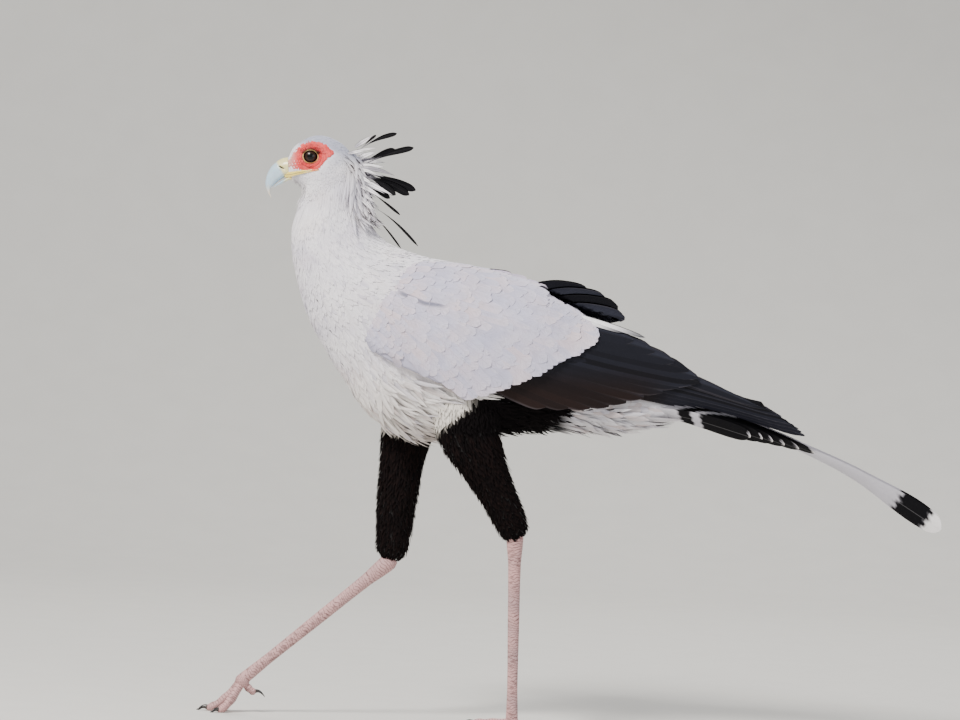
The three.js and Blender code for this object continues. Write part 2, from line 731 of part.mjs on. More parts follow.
// A claw curves down from inside the end of its toe.
function claw(leg, side, toe) {
  const tip = toePoint(leg, side, toe, toe.long);
  const way = tip.clone().sub(toePoint(leg, side, toe, toe.long * 0.9)).normalize();
  const sunk = 3;
  const r = toe.thick * 0.52;
  const stations = [0, 0.35, 0.7, 1].map((t) => {
    const p = tip.clone().addScaledVector(way, (toe.claw + sunk) * t - sunk);
    const thin = r * (1 - t) ** 0.8 + 0.5;
    p.z = Math.max(p.z + toe.claw * (0.24 * Math.sin(Math.PI * t) - 0.26 * t * t), thin + 0.2);
    return { p: p.toArray(), deep: thin, wide: thin * 0.8 };
  });
  return limb(stations, 6).subtract(toeBody(leg, side, toe, GAP)).subtract(underFloor());
}

const COLOUR = {
  white: 0xe6e2e2,
  grey: 0xc9c5cc,
  black: 0x17141a,
  skin: 0xe0674f,
  horn: 0xb9cdd6,
  pink: 0xc9a39c,
  eye: 0x2a1a12,
  claw: 0x2b2624,
};

function build() {
  const bird = new THREE.Group();
  const put = (...args) => bird.add(mesh(...args));
  const torsoSpace = torso(GAP);
  const body = torso();
  put("head", head(), COLOUR.white);
  put("neck", neck(), COLOUR.white);
  put("torso", body, COLOUR.white);
  put("bill_upper", upperBill(), COLOUR.horn, 0.4);
  put("bill_lower", lowerBill(), COLOUR.horn, 0.4);
  put("tail", tail(), COLOUR.grey);
  for (const side of [LEFT, RIGHT]) {
    const leg = LEGS[side];
    put(`eye_${leg.name}`, eye(side), COLOUR.eye, 0.1);
    put(`wing_${leg.name}`, wing(side, torsoSpace), COLOUR.grey);
    put(`thigh_${leg.name}`, limb(leg.thigh, 16).subtract(torsoSpace), COLOUR.black);
    put(`tarsus_${leg.name}`, tarsus(leg).subtract(limb(leg.thigh, 16, GAP)), COLOUR.pink, 0.6);
    put(`foot_${leg.name}`, foot(leg, side), COLOUR.pink, 0.6);
    for (const toe of TOES) {
      put(`claw_${leg.name}_${toe.name}`, claw(leg, side, toe), COLOUR.claw, 0.35);
    }
  }
  // The origin is on the floor under the middle of the whole.
  const middle = new THREE.Box3().setFromObject(bird).getCenter(vec(0, 0, 0));
  bird.position.set(-middle.x, -middle.y, 0);
  return bird;
}

export default build();
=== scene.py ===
"""A secretary bird in mid stride, life size: the looks of a still museum model.

Sizes are worked out in millimetres in the bird's own design frame, where the floor is
z = 0, the bird faces -X and its left side is -Y, and become metres in the frame's place
when a mesh is made.
"""

from __future__ import annotations

import logging
import math
from collections.abc import Callable, Sequence
from dataclasses import dataclass, field
from enum import Enum

import bpy
import numpy as np
from mathutils import Matrix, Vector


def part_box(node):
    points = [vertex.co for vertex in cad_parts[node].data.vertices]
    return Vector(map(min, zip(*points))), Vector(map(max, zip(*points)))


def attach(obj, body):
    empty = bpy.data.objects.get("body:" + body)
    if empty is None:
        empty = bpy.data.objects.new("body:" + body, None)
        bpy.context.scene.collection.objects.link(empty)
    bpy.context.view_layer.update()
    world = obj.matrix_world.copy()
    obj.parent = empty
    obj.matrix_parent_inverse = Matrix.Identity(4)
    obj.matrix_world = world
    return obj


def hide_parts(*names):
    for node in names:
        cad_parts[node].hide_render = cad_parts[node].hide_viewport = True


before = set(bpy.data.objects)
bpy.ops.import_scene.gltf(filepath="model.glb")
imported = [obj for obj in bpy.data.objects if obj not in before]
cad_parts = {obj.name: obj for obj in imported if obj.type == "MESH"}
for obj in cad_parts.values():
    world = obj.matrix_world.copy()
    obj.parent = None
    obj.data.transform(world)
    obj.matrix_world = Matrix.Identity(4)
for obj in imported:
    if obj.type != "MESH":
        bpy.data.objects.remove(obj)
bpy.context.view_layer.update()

LOG = logging.getLogger("secretary_bird")
Array = np.ndarray
Rng = np.random.Generator
Pair = tuple[float, float]
Triple = tuple[float, float, float]
Keys = Sequence[tuple[float, ...]]

MM = 0.001
SEED = 417
Y_AXIS = np.array([0.0, 1.0, 0.0])
Z_AXIS = np.array([0.0, 0.0, 1.0])
ALL_ROUND = (-np.pi, np.pi)
EYE_X, EYE_Y, EYE_Z = -269.0, 17.2, 843.0
EYE_RADIUS = 12.6
EYE_LOW, EYE_HIGH = (np.array(corner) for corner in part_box("eye_left"))
SHIFT = np.array([(EYE_LOW[0] + EYE_HIGH[0]) / 2 / MM - EYE_X, 0.0, 0.0])

# The body from bill to tail root: each row is one flat section, with its points on the
# back line and on the breast line (x, z) and its half width.
BODY_BACK = ((-303, 840), (-294, 857), (-272, 872), (-250, 875), (-222, 864), (-203, 842), (-193, 812),
             (-182, 762), (-150, 722), (-95, 703), (-45, 695), (5, 684), (55, 664), (105, 634),
             (150, 600), (185, 568), (218, 541), (252, 526), (290, 511), (332, 498))
BODY_FRONT = ((-300, 806), (-290, 803), (-284, 800), (-279, 794), (-278, 788), (-281, 778), (-286, 764),
              (-293, 728), (-287, 676), (-264, 606), (-238, 560), (-206, 513), (-160, 455), (-100, 432),
              (-30, 438), (72, 452), (150, 456), (208, 457), (260, 467), (318, 484))
BODY_HALF = (14, 22, 29, 31, 32, 32, 33, 40, 55, 72, 79, 81, 79, 72, 60, 46, 34, 31, 26, 12)

# The folded wing in the side view: its lower and upper edges (x, z), and how far out from the
# midline its widest part and its top ridge stand (x, y).
WING_LOW = ((-190, 595), (-165, 556), (-80, 516), (0, 487), (88, 478), (150, 476), (205, 488),
            (250, 498), (300, 500), (374, 486), (415, 474), (450, 460), (495, 436))
WING_TOP = ((-190, 618), (-165, 664), (-110, 690), (-50, 692), (0, 686), (42, 678), (85, 666),
            (140, 641), (180, 625), (227, 609), (293, 581), (350, 549), (414, 520), (450, 505),
            (495, 480))
WING_OUT = ((-190, 60), (-140, 84), (-50, 94), (60, 89), (150, 70), (250, 50), (350, 36), (495, 27))
WING_RIDGE = ((-190, 50), (-120, 38), (-40, 22), (60, 9), (180, 8), (260, 14), (340, 18), (495, 20))

# The share of the wing's height where it is widest, and the powers of the dome above that.
WIDEST = 0.35
DOME_UP, DOME_IN = 2.1, 0.58
STEEPEST = 1.6

# The rear edge of the grey coverts from low to high, and how steeply they slant down along it.
COVERT_EDGE = ((-15, 493), (61, 520), (124, 556), (174, 590), (160, 617), (112, 643), (70, 664))
COVERT_LIE = ((0, 42), (0.3, 44), (0.5, 34), (0.75, 16), (1, 10))

# Where the tips of the grey coverts end in the side view (x, z).
COVERT_REGION = ((-197, 605), (-187, 579), (-162, 555), (-109, 532), (-76, 517), (-27, 496), (-15, 493),
                 (61, 520), (124, 556), (174, 590), (160, 617), (112, 643), (66, 690), (0, 702),
                 (-110, 700), (-168, 672))

# Where the tips of the shoulder feathers end in the side view (x, z).
MANTLE_REGION = ((-140, 660), (-122, 650), (-87, 637), (-57, 635), (10, 639), (78, 638), (106, 638),
                 (107, 652), (93, 668), (70, 700), (-20, 720), (-140, 740))

# The bare red face in the side view, as an outline (x, z).
FACE = ((-301, 832), (-294, 845), (-285, 856), (-274, 863), (-262, 865), (-250, 862), (-239, 855),
        (-233, 849), (-243, 842), (-250, 834), (-254, 827), (-262, 822), (-280, 821), (-298, 824))

# How deep the skin lies under the plumage along the body, against the station.
DEPTH = ((0, 0.8), (2.5, 1.2), (4.5, 1.8), (5.3, 2.2), (8.2, 3), (12, 3.4), (16, 3.2), (19, 2.6))
TROUSER_DEPTH = 5.0

# The station where the head joins the neck, and the eye's socket: its inner and outer radius
# and how far out from the midline its floor stands.
HEAD_END = 5.3
SOCKET = (16.0, 21.0)
SOCKET_FLOOR = 18.0


class Side(Enum):
    """Which half of the bird, with the sign of its y."""

    LEFT = -1
    RIGHT = 1

    @property
    def label(self) -> str:
        """The word used in node and piece names."""
        return self.name.lower()


def srgb(red: int, green: int, blue: int) -> Array:
    """Linear colour of a screen colour given in 0 to 255."""
    c = np.array([red, green, blue]) / 255.0
    return np.where(c <= 0.04045, c / 12.92, ((c + 0.055) / 1.055) ** 2.4)


CROWN_GREY = srgb(158, 163, 184)
WHITE = srgb(247, 243, 246)
LAVENDER = srgb(203, 197, 217)
BUFF = srgb(219, 192, 186)
CREAM = srgb(246, 238, 228)
COVERT_GREY = srgb(194, 190, 212)
TAIL_GREY = srgb(206, 203, 210)
INK = srgb(9, 8, 12)
SOOT = srgb(12, 9, 10)
BROWN_BLACK = srgb(33, 22, 20)
BLUE_BLACK = srgb(30, 31, 40)
FACE_RED = srgb(208, 34, 38)
FACE_PINK = srgb(232, 88, 84)


def through(keys: Keys, x: Array | float, column: int = 1) -> Array:
    """A smooth curve read at x: cubic pieces between the keys, with the slope at each key
    taken from its two neighbours.

    Args:
        keys: rows whose first number is the place and another the value.
        x: where to read.
        column: which number of a row is the value.

    Returns:
        The value at each x.
    """
    table = np.asarray(keys, float)
    xs, ys = table[:, 0], table[:, column]
    x = np.clip(np.asarray(x, float), xs[0], xs[-1])
    before = np.maximum(np.arange(len(xs)) - 1, 0)
    after = np.minimum(np.arange(len(xs)) + 1, len(xs) - 1)
    slope = (ys[after] - ys[before]) / (xs[after] - xs[before])
    i = np.clip(np.searchsorted(xs, x, side="right") - 1, 0, len(xs) - 2)
    h = xs[i + 1] - xs[i]
    t = (x - xs[i]) / h
    ends = ys[i] * (1 + 2 * t) * (1 - t) ** 2 + ys[i + 1] * t * t * (3 - 2 * t)
    return ends + slope[i] * h * t * (1 - t) ** 2 + slope[i + 1] * h * t * t * (t - 1)


def along(points: Keys, q: Array | float) -> Array:
    """Points at the shares q of the way along a list of points."""
    rows = np.asarray(points, float)
    keyed = np.column_stack([np.linspace(0, 1, len(rows)), rows])
    return np.stack([through(keyed, q, c + 1) for c in range(rows.shape[1])], axis=-1)


def unit(v: Array) -> Array:
    """Vectors along the last axis, scaled to length one."""
    return v / np.maximum(np.linalg.norm(v, axis=-1, keepdims=True), 1e-9)


def blend(low: float, high: float, x: Array) -> Array:
    """A smooth step from 0 at low to 1 at high."""
    t = np.clip((x - low) / (high - low), 0, 1)
    return t * t * (3 - 2 * t)


def mix(a: Array, b: Array, share: Array) -> Array:
    """Colour a turned into colour b by a share for each point."""
    return a + (b - a) * np.asarray(share)[..., None]


def over(colour: Array, *layers: tuple[Array, Array]) -> Array:
    """A colour with other colours laid over it in turn, each by its share."""
    for layer, share in layers:
        colour = mix(colour, layer, share)
    return colour


def turns(count: int) -> Array:
    """Angles evenly round a full turn."""
    return np.linspace(0, 2 * np.pi, count + 1)[:-1]


def about(line: Array, up: Array, side: Array, high: Array, wide: Array) -> Array:
    """Points beside a line, by their distances along two directions."""
    return line + up * high[..., None] + side * wide[..., None]


def inside_by(outline: Keys, x: Array, z: Array) -> Array:
    """How deep points lie inside a closed outline, negative outside: the distance to the
    nearest edge, signed by how many edges a ray to the right crosses.

    Args:
        outline: the corners (x, z).
        x: the points' x.
        z: the points' z.

    Returns:
        The signed depth at each point.
    """
    corner = np.asarray(outline, float)
    start, end = corner, np.roll(corner, -1, axis=0)
    p = np.stack([x, z], axis=-1)[..., None, :]
    run = end - start
    t = np.clip(((p - start) * run).sum(-1) / (run * run).sum(-1), 0, 1)
    gap = np.linalg.norm(p - (start + run * t[..., None]), axis=-1).min(-1)
    spans = (start[:, 1] > p[..., 1]) != (end[:, 1] > p[..., 1])
    rise = np.where(run[:, 1] == 0, 1e-9, run[:, 1])
    crossing = start[:, 0] + (p[..., 1] - start[:, 1]) * run[:, 0] / rise
    odd = (spans & (p[..., 0] < crossing)).sum(-1) % 2 == 1
    return np.where(odd, gap, -gap)


class Surface:
    """A curved surface that feathers lie on, as a function of two parameters."""

    # A hundredth of this is how far each parameter steps to measure a slope.
    unit_step = (1.0, 1.0)

    def point(self, a: Array, b: Array) -> Array:
        """Places on the surface."""
        raise NotImplementedError

    def rows(self, a: Array) -> tuple[Array, ...]:
        """The middles of the sections at a, and what else describes them."""
        raise NotImplementedError

    def heart(self, a: Array, b: Array) -> Array:
        """Places inside, which tell inwards from outwards."""
        return self.rows(a)[0] + 0 * b[..., None]

    def frame(self, a: Array, b: Array) -> tuple[Array, Array, Array, Array]:
        """The surface's place, its outward normal, and how far it moves for each unit of a
        and of b: central differences, and the cross product of the two directions.

        Args:
            a: first parameter.
            b: second parameter.

        Returns:
            Points, unit normals, and the two lengths.
        """
        step_a, step_b = (0.01 * size for size in self.unit_step)
        p = self.point(a, b)
        along_a = (self.point(a + step_a, b) - self.point(a - step_a, b)) / (2 * step_a)
        along_b = (self.point(a, b + step_b) - self.point(a, b - step_b)) / (2 * step_b)
        normal = unit(np.cross(along_a, along_b))
        sense = np.sign(((p - self.heart(a, b)) * normal).sum(-1, keepdims=True))
        normal = normal * np.where(sense == 0, 1, sense)
        return p, normal, np.linalg.norm(along_a, axis=-1), np.linalg.norm(along_b, axis=-1)


class BodySurface(Surface):
    """The body's skin under its plumage: a is the station from the bill, b the turn from the
    back line."""

    def rows(self, a: Array) -> tuple[Array, Array, Array]:
        """Centre, half height as a vector, and half width of the sections at a."""
        keyed = np.column_stack([np.arange(len(BODY_HALF)), BODY_BACK, BODY_FRONT, BODY_HALF])
        back_x, back_z, front_x, front_z, half = (through(keyed, a, column) for column in range(1, 6))
        zero = np.zeros_like(back_x)
        centre = np.stack([(back_x + front_x) / 2, zero, (back_z + front_z) / 2], -1)
        up = np.stack([(back_x - front_x) / 2, zero, (back_z - front_z) / 2], -1)
        return centre, up, half

    def point(self, a: Array, b: Array) -> Array:
        """The section's ellipse, smaller all round by the plumage's depth, sunk about the eye."""
        centre, up, half = self.rows(a)
        deep = through(DEPTH, a)
        tall = np.linalg.norm(up, axis=-1)
        p = centre + up * (1 - deep / tall)[..., None] * np.cos(b)[..., None]
        y = (half - deep) * np.sin(b)
        far = np.hypot(p[..., 0] - EYE_X, (p[..., 2] - EYE_Z) * 1.1)
        socket = 1 - blend(*SOCKET, far)
        p[..., 1] = np.sign(y) * (np.abs(y) + (np.minimum(np.abs(y), SOCKET_FLOOR) - np.abs(y)) * socket)
        return p


@dataclass
class LimbSurface(Surface):
    """A limb: a is the share of its length, b the turn about it. A station holds its place,
    its radius fore and aft and its radius across."""

    stations: Keys
    inset: float

    def rows(self, a: Array) -> tuple[Array, Array, Array, Array, Array]:
        """Centre, fore vector, side vector and the two radii at a."""
        table = np.asarray(self.stations, float)
        centre = along(table[:, :3], a)
        way = unit(along(table[:, :3], a + 0.01) - along(table[:, :3], a - 0.01))
        side = unit(Y_AXIS - way * way[..., 1:2])
        radii = along(table[:, 3:5], a) - self.inset
        return centre, np.cross(way, side), side, radii[..., 0], radii[..., 1]

    def point(self, a: Array, b: Array) -> Array:
        """An ellipse about the limb's line."""
        centre, fore, side, deep, wide = self.rows(a)
        return about(centre, fore, side, deep * np.cos(b), wide * np.sin(b))


@dataclass
class WingSurface(Surface):
    """The folded wing as a sheet over the flank: a is x and b is z of the side view."""

    side: Side

    def point(self, a: Array, b: Array) -> Array:
        """Full breadth up to the widest height, then a dome in to the ridge at the top."""
        low, top = through(WING_LOW, a), through(WING_TOP, a)
        out, ridge = through(WING_OUT, a), through(WING_RIDGE, a)
        share = np.clip((b - low) / (top - low), -0.25, 1)
        rise = np.clip((share - WIDEST) / (1 - WIDEST), 0, 1)
        tuck = np.clip((WIDEST - share) / WIDEST, 0, None)
        y = ridge + (out - ridge) * np.maximum(1 - rise**DOME_UP, 0) ** DOME_IN
        y = np.where(share < WIDEST, out * (1 - 0.1 * tuck**2), y)
        return np.stack([a + 0 * y, self.side.value * y, b + 0 * y], -1)

    def frame(self, a: Array, b: Array) -> tuple[Array, Array, Array, Array]:
        """As on any surface, but with slopes held under STEEPEST, so that feathers laid past
        the sheet's edge keep their shape."""
        p = self.point(a, b)
        slope = [(self.point(a + d, b + e) - self.point(a - d, b - e))[..., 1] / 4
                 for d, e in ((2, 0), (0, 2))]
        slope_a, slope_b = (np.clip(v, -STEEPEST, STEEPEST) for v in slope)
        normal = unit(np.stack([-slope_a, np.ones_like(slope_a), -slope_b], -1)) * self.side.value
        return p, normal, np.hypot(1, slope_a), np.hypot(1, slope_b)


@dataclass
class MantleSurface(Surface):
    """The shoulders from wing to wing, over the back: a is x and b is y. It follows the domes
    of both wings, a little above them, and bridges the furrow between."""

    lift: float = 2.2
    unit_step = (100.0, 100.0)

    def point(self, a: Array, b: Array) -> Array:
        """The wing's dome turned round: its height for each distance from the midline."""
        low, top = through(WING_LOW, a), through(WING_TOP, a)
        out, ridge = through(WING_OUT, a), through(WING_RIDGE, a)
        reach = np.clip((np.abs(b) - ridge) / (out - ridge), 0, 0.97)
        share = WIDEST + (1 - WIDEST) * (1 - reach ** (1 / DOME_IN)) ** (1 / DOME_UP)
        z = low + (top - low) * share + self.lift * (1 - 0.5 * np.abs(b) / 90)
        return np.stack([a + 0 * z, b + 0 * z, z], -1)

    def heart(self, a: Array, b: Array) -> Array:
        """The bird's midplane below the back."""
        return np.stack([a + 0 * b, 0 * (a + b), 560 + 0 * (a + b)], -1)


@dataclass
class Form:
    """The outline and cross section of a kind of feather.

    Attributes:
        outline: the share of the length against the share of the half width.
        across: how many points run across its upper face.
        thick: thickness at the shaft in millimetres.
        camber: how far its edges hang below its shaft, as a share of the half width.
        rows: how many rows it has along its length.
        round: how far its shading turns towards its edges.
    """

    outline: Keys
    across: int = 3
    thick: float = 0.5
    camber: float = 0.15
    rows: int = 5
    round: float = 0.25

    def places(self) -> Array:
        """Shares of the length at which the rows stand, closer at the tip."""
        return np.linspace(0, 1, self.rows) ** 0.85

    def faces(self) -> Array:
        """Triangles of one closed vane whose rings of points follow its rows."""
        n, ring = self.across, 2 * self.across - 2
        r, k = np.meshgrid(np.arange(self.rows - 1), np.arange(ring), indexing="ij")
        a, b = r * ring + k, r * ring + (k + 1) % ring
        wall = np.stack([a, b, b + ring, a, b + ring, a + ring], -1).reshape(-1, 3)
        top = np.arange(n)
        under = np.where((top == 0) | (top == n - 1), top, ring - top)
        ends = []
        for base, turn in ((0, 1), ((self.rows - 1) * ring, -1)):
            for i in range(n - 1):
                quad = (top[i], under[i], under[i + 1], top[i + 1])
                for tri in ((quad[0], quad[1], quad[2]), (quad[0], quad[2], quad[3])):
                    if len(set(tri)) == 3:
                        ends.append([base + v for v in tri[::turn]])
        return np.concatenate([wall, np.array(ends)])

    def ring(self) -> tuple[Array, Array]:
        """Place across (-1 to 1) and face (1 above, -1 below, 0 edge) of a ring's points."""
        top = np.linspace(-1, 1, self.across)
        w = np.concatenate([top, top[-2:0:-1]])
        face = np.concatenate([np.ones(self.across), -np.ones(self.across - 2)])
        face[[0, self.across - 1]] = 0
        return w, face


SMALL = Form(((0, 0.5), (0.45, 1), (0.8, 0.85), (1, 0.22)), thick=0.3, camber=0.25)
LANCE = Form(((0, 0.5), (0.35, 1), (0.75, 0.75), (1, 0.06)), thick=0.3, camber=0.25)
COVERT = Form(((0, 0.45), (0.35, 0.88), (0.62, 1), (0.82, 0.95), (0.93, 0.74), (0.98, 0.42), (1, 0.12)),
              across=7, rows=13, thick=0.22, camber=0.12, round=0.12)
FLIGHT = Form(((0, 0.12), (0.25, 0.6), (0.55, 1), (0.78, 0.98), (0.93, 0.72), (1, 0.14)),
              across=9, rows=26, thick=0.7, camber=0.1)
TAIL_VANE = Form(((0, 0.3), (0.35, 0.8), (0.7, 1), (0.9, 0.9), (0.97, 0.6), (1, 0.15)),
                 across=9, rows=40, thick=0.6, camber=0.1)
STREAMER = Form(((0, 0.4), (0.25, 0.5), (0.5, 0.46), (0.7, 0.62), (0.86, 1), (0.96, 0.86), (0.99, 0.5),
                 (1, 0.1)), across=11, rows=90, thick=0.9, camber=0.1)
CLUB = Form(((0, 0.12), (0.3, 0.18), (0.5, 0.5), (0.68, 0.9), (0.82, 1), (0.94, 0.8), (1, 0.15)),
            across=7, rows=22, thick=0.6, camber=0.2)
WISP = Form(((0, 0.5), (0.35, 1), (0.7, 0.7), (1, 0.05)), across=7, rows=22, thick=0.6, camber=0.2)


@dataclass
class Batch:
    """Vertices, triangles and what the finishes read, gathered for one piece."""

    points: list[Array] = field(default_factory=list)
    faces: list[Array] = field(default_factory=list)
    tint: list[Array] = field(default_factory=list)
    place: list[Array] = field(default_factory=list)
    bake: list[Array] = field(default_factory=list)
    facing: list[Array] = field(default_factory=list)
    count: int = 0

    def add(self, points: Array, faces: Array, tint: Array, place: Array, bake: Array) -> None:
        """Adds points with their triangles.

        Args:
            points: places in design millimetres.
            faces: triangles among these points.
            tint: colour and a fourth value for each point.
            place: across and along in millimetres, and a random number, for each point.
            bake: the baked image's coordinates for each corner of each triangle.
        """
        self.points.append(points.reshape(-1, 3))
        self.faces.append(faces + self.count)
        self.tint.append(tint.reshape(-1, 4))
        self.place.append(place.reshape(-1, 3))
        self.bake.append(bake.reshape(-1, 2))
        self.count += len(self.points[-1])

    def emit(self, name: str, material: bpy.types.Material, slot: str) -> bpy.types.Object:
        """Makes the piece's object.

        Args:
            name: the piece's name.
            material: its finish.
            slot: the record's slot that the finish stands for; not used here.

        Returns:
            The new object, which rides on the root body.
        """
        points = (np.concatenate(self.points) + SHIFT) * MM
        faces = np.concatenate(self.faces).astype(np.int32)
        mesh = bpy.data.meshes.new(name)
        mesh.vertices.add(len(points))
        mesh.vertices.foreach_set("co", points.astype(np.float32).ravel())
        mesh.loops.add(faces.size)
        mesh.loops.foreach_set("vertex_index", faces.ravel())
        mesh.polygons.add(len(faces))
        mesh.polygons.foreach_set("loop_start", np.arange(0, faces.size, 3, dtype=np.int32))
        mesh.polygons.foreach_set("use_smooth", np.ones(len(faces), bool))
        mesh.update(calc_edges=True)
        uv = mesh.uv_layers.new(name="OFBake")
        uv.data.foreach_set("uv", np.concatenate(self.bake).astype(np.float32).ravel())
        for label, kind, key, stored in (("Tint", "FLOAT_COLOR", "color", self.tint),
                                         ("Place", "FLOAT_VECTOR", "vector", self.place)):
            made = mesh.attributes.new(label, kind, "POINT")
            made.data.foreach_set(key, np.concatenate(stored).astype(np.float32).ravel())
        piece = bpy.data.objects.new(name, mesh)
        bpy.context.scene.collection.objects.link(piece)
        mesh.materials.append(material)
        if self.facing:
            mesh.normals_split_custom_set_from_vertices(np.concatenate(self.facing).tolist())
        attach(piece, "root")
        LOG.info("%s: %d triangles", name, len(faces))
        return piece


def outward(points: Array, faces: Array) -> Array:
    """The triangles, turned so that the volume they enclose is positive."""
    a, b, c = (points[faces[:, i]] for i in range(3))
    volume = (a * np.cross(b, c)).sum()
    return faces if volume > 0 else faces[:, ::-1]


Patch = tuple[float, float, float, float]
WHOLE: Patch = (0.0, 0.0, 1.0, 1.0)

# The stored place of a point that is no feather: far from any shaft.
OFF_SHAFT = np.array([5.0, 0.0, 0.5])

# The corners of a grid square's two triangles, as steps to the next ring and round it.
CORNERS = ((0, 0), (0, 1), (1, 1), (0, 0), (1, 1), (1, 0))


def tube(batch: Batch, grid: Array, tint: Array, patch: Patch = WHOLE, closed: bool = False) -> None:
    """Adds a closed surface from a grid of rings of points.

    Args:
        batch: where it goes.
        grid: rings by points round a ring by xyz.
        tint: a colour with a fourth value for each point of the grid.
        patch: corner and size of its part of the baked image.
        closed: joins the last ring to the first; otherwise both ends are drawn to their middles.
    """
    rows, ring = grid.shape[:2]
    steps = rows if closed else rows - 1
    i, j = np.meshgrid(np.arange(steps), np.arange(ring), indexing="ij")
    faces = np.stack([(i + di) % rows * ring + (j + dj) % ring for di, dj in CORNERS], -1).reshape(-1, 3)
    bake = np.stack([np.stack([(j + dj) / ring, (i + di) / steps], -1) for di, dj in CORNERS], -2)
    bake, points, colour = bake.reshape(-1, 2), grid.reshape(-1, 3), tint.reshape(-1, 4)
    if not closed:
        k = np.arange(ring)
        n, last = rows * ring, (rows - 1) * ring
        points = np.concatenate([points, grid[[0, -1]].mean(1)])
        colour = np.concatenate([colour, tint[[0, -1]].mean(1)])
        first = np.stack([np.full(ring, n), (k + 1) % ring, k], -1)
        final = np.stack([np.full(ring, n + 1), last + k, last + (k + 1) % ring], -1)
        faces = np.concatenate([faces, first, final])
        turn = np.stack([k + 0.5, k, k + 1], -1) / ring
        caps = [np.stack([turn, np.full_like(turn, end)], -1).reshape(-1, 2) for end in (0.0, 1.0)]
        bake = np.concatenate([bake, *caps])
    turned = outward(points, faces)
    if turned is not faces:
        bake = bake.reshape(-1, 3, 2)[:, ::-1].reshape(-1, 2)
    corner, size = np.array(patch[:2]), np.array(patch[2:])
    batch.add(points, turned, colour, np.broadcast_to(OFF_SHAFT, points.shape), corner + bake * size)


Paint = Callable[[Array, Array, Array, Array], Array]


def vanes(batch: Batch, form: Form, points: Array, facing: Array, along_mm: Array, across_mm: Array,
          paint: Paint, luck: Array, bake_at: Array, bake_size: float | Pair) -> None:
    """Adds many vanes whose points are already placed. They are shaded by the direction that
    their surface faces, turned a little towards each edge, so that a coat looks soft.

    Args:
        batch: where they go.
        form: their kind.
        points: vanes by rows by ring by xyz.
        facing: the way each point's upper face looks, likewise.
        along_mm: distance from the root, broadcast to vanes by rows by ring.
        across_mm: distance from the shaft, broadcast likewise.
        paint: gives colours from points, share along, share across and luck.
        luck: one random number for each vane.
        bake_at: each vane's corner in the baked image.
        bake_size: how large its patch is there, across and along.
    """
    shape = n, rows, ring = points.shape[:3]
    w, face = form.ring()
    t = form.places()[:, None]
    faces = outward(points[0].reshape(-1, 3), form.faces())
    every = (faces[None] + (np.arange(n) * rows * ring)[:, None, None]).reshape(-1, 3)
    edgeways = unit(points[:, :, form.across - 1] - points[:, :, 0])[:, :, None]
    looks = unit(facing) + edgeways * (form.round * w)[:, None]
    batch.facing.append((unit(looks) * np.where(face < 0, -1, 1)[:, None]).reshape(-1, 3))
    share, side, fate = (np.broadcast_to(v, shape) for v in (t, w, luck[:, None, None]))
    tint = np.concatenate([paint(points, share, side, fate), np.abs(side)[..., None]], -1)
    place = np.stack([np.broadcast_to(across_mm, shape), np.broadcast_to(along_mm, shape), fate], -1)
    size = np.broadcast_to(np.asarray(bake_size), (2,))
    patch = np.stack([(w + 1) / 2 * size[0] + 0 * t, t * size[1] + 0 * w], -1)
    corner = bake_at[:, None, None, :] + patch[None]
    batch.add(points, every, tint, place, corner.reshape(-1, 2)[every.ravel()])


def blade(batch: Batch, form: Form, spine: Array, across: Array, out: Array, width: Array, body: Array,
          long: float, paint: Paint, luck: Array, corner: Array, size: Pair) -> None:
    """Adds one vane along a spine.

    Args:
        batch: where it goes.
        form: its kind.
        spine: points along its shaft.
        across: the direction from edge to edge, alike or for each row.
        out: the direction its upper face looks, likewise.
        width: distance of each point from the shaft.
        body: height of each point above it.
        long: its length.
        paint: its colours.
        luck: its random number, as an array.
        corner: its corner in the baked image, as a row.
        size: its patch there.
    """
    points = about(spine[:, None], across, out, width, body)[None]
    along_mm = long * form.places()[:, None] + 0 * width
    vanes(batch, form, points, np.broadcast_to(out, points.shape), along_mm, width, paint, luck, corner, size)


def unwrap(a: Array, b: Array, a_range: Pair, b_range: Pair) -> Array:
    """A root's place in the baked image, from its two parameters and their ranges."""
    spread = [(v - low) / (high - low) for v, (low, high) in ((a, a_range), (b, b_range))]
    return np.clip(0.01 + 0.97 * np.stack(spread, -1), 0.0, 0.99)


@dataclass
class Lie:
    """How the feathers of one coat lie on their surface; lengths in millimetres.

    Attributes:
        length: from root to tip.
        width: full width.
        rise: height of the tip above the surface.
        heading: turn from the surface's first direction, in degrees.
        root: height of the root, which is sunk.
        vary: how much lengths and widths vary, as a share.
        stray: how much headings vary, in degrees.
        lift_vary: how much the tips' heights vary, in millimetres.
    """

    length: Array | float
    width: Array | float
    rise: Array | float = 2.0
    heading: Array | float = 0.0
    root: float = -1.5
    vary: float = 0.15
    stray: float = 6.0
    lift_vary: float = 0.6


# How large a small feather's patch is in the baked image.
BAKE_SIZE = 0.003


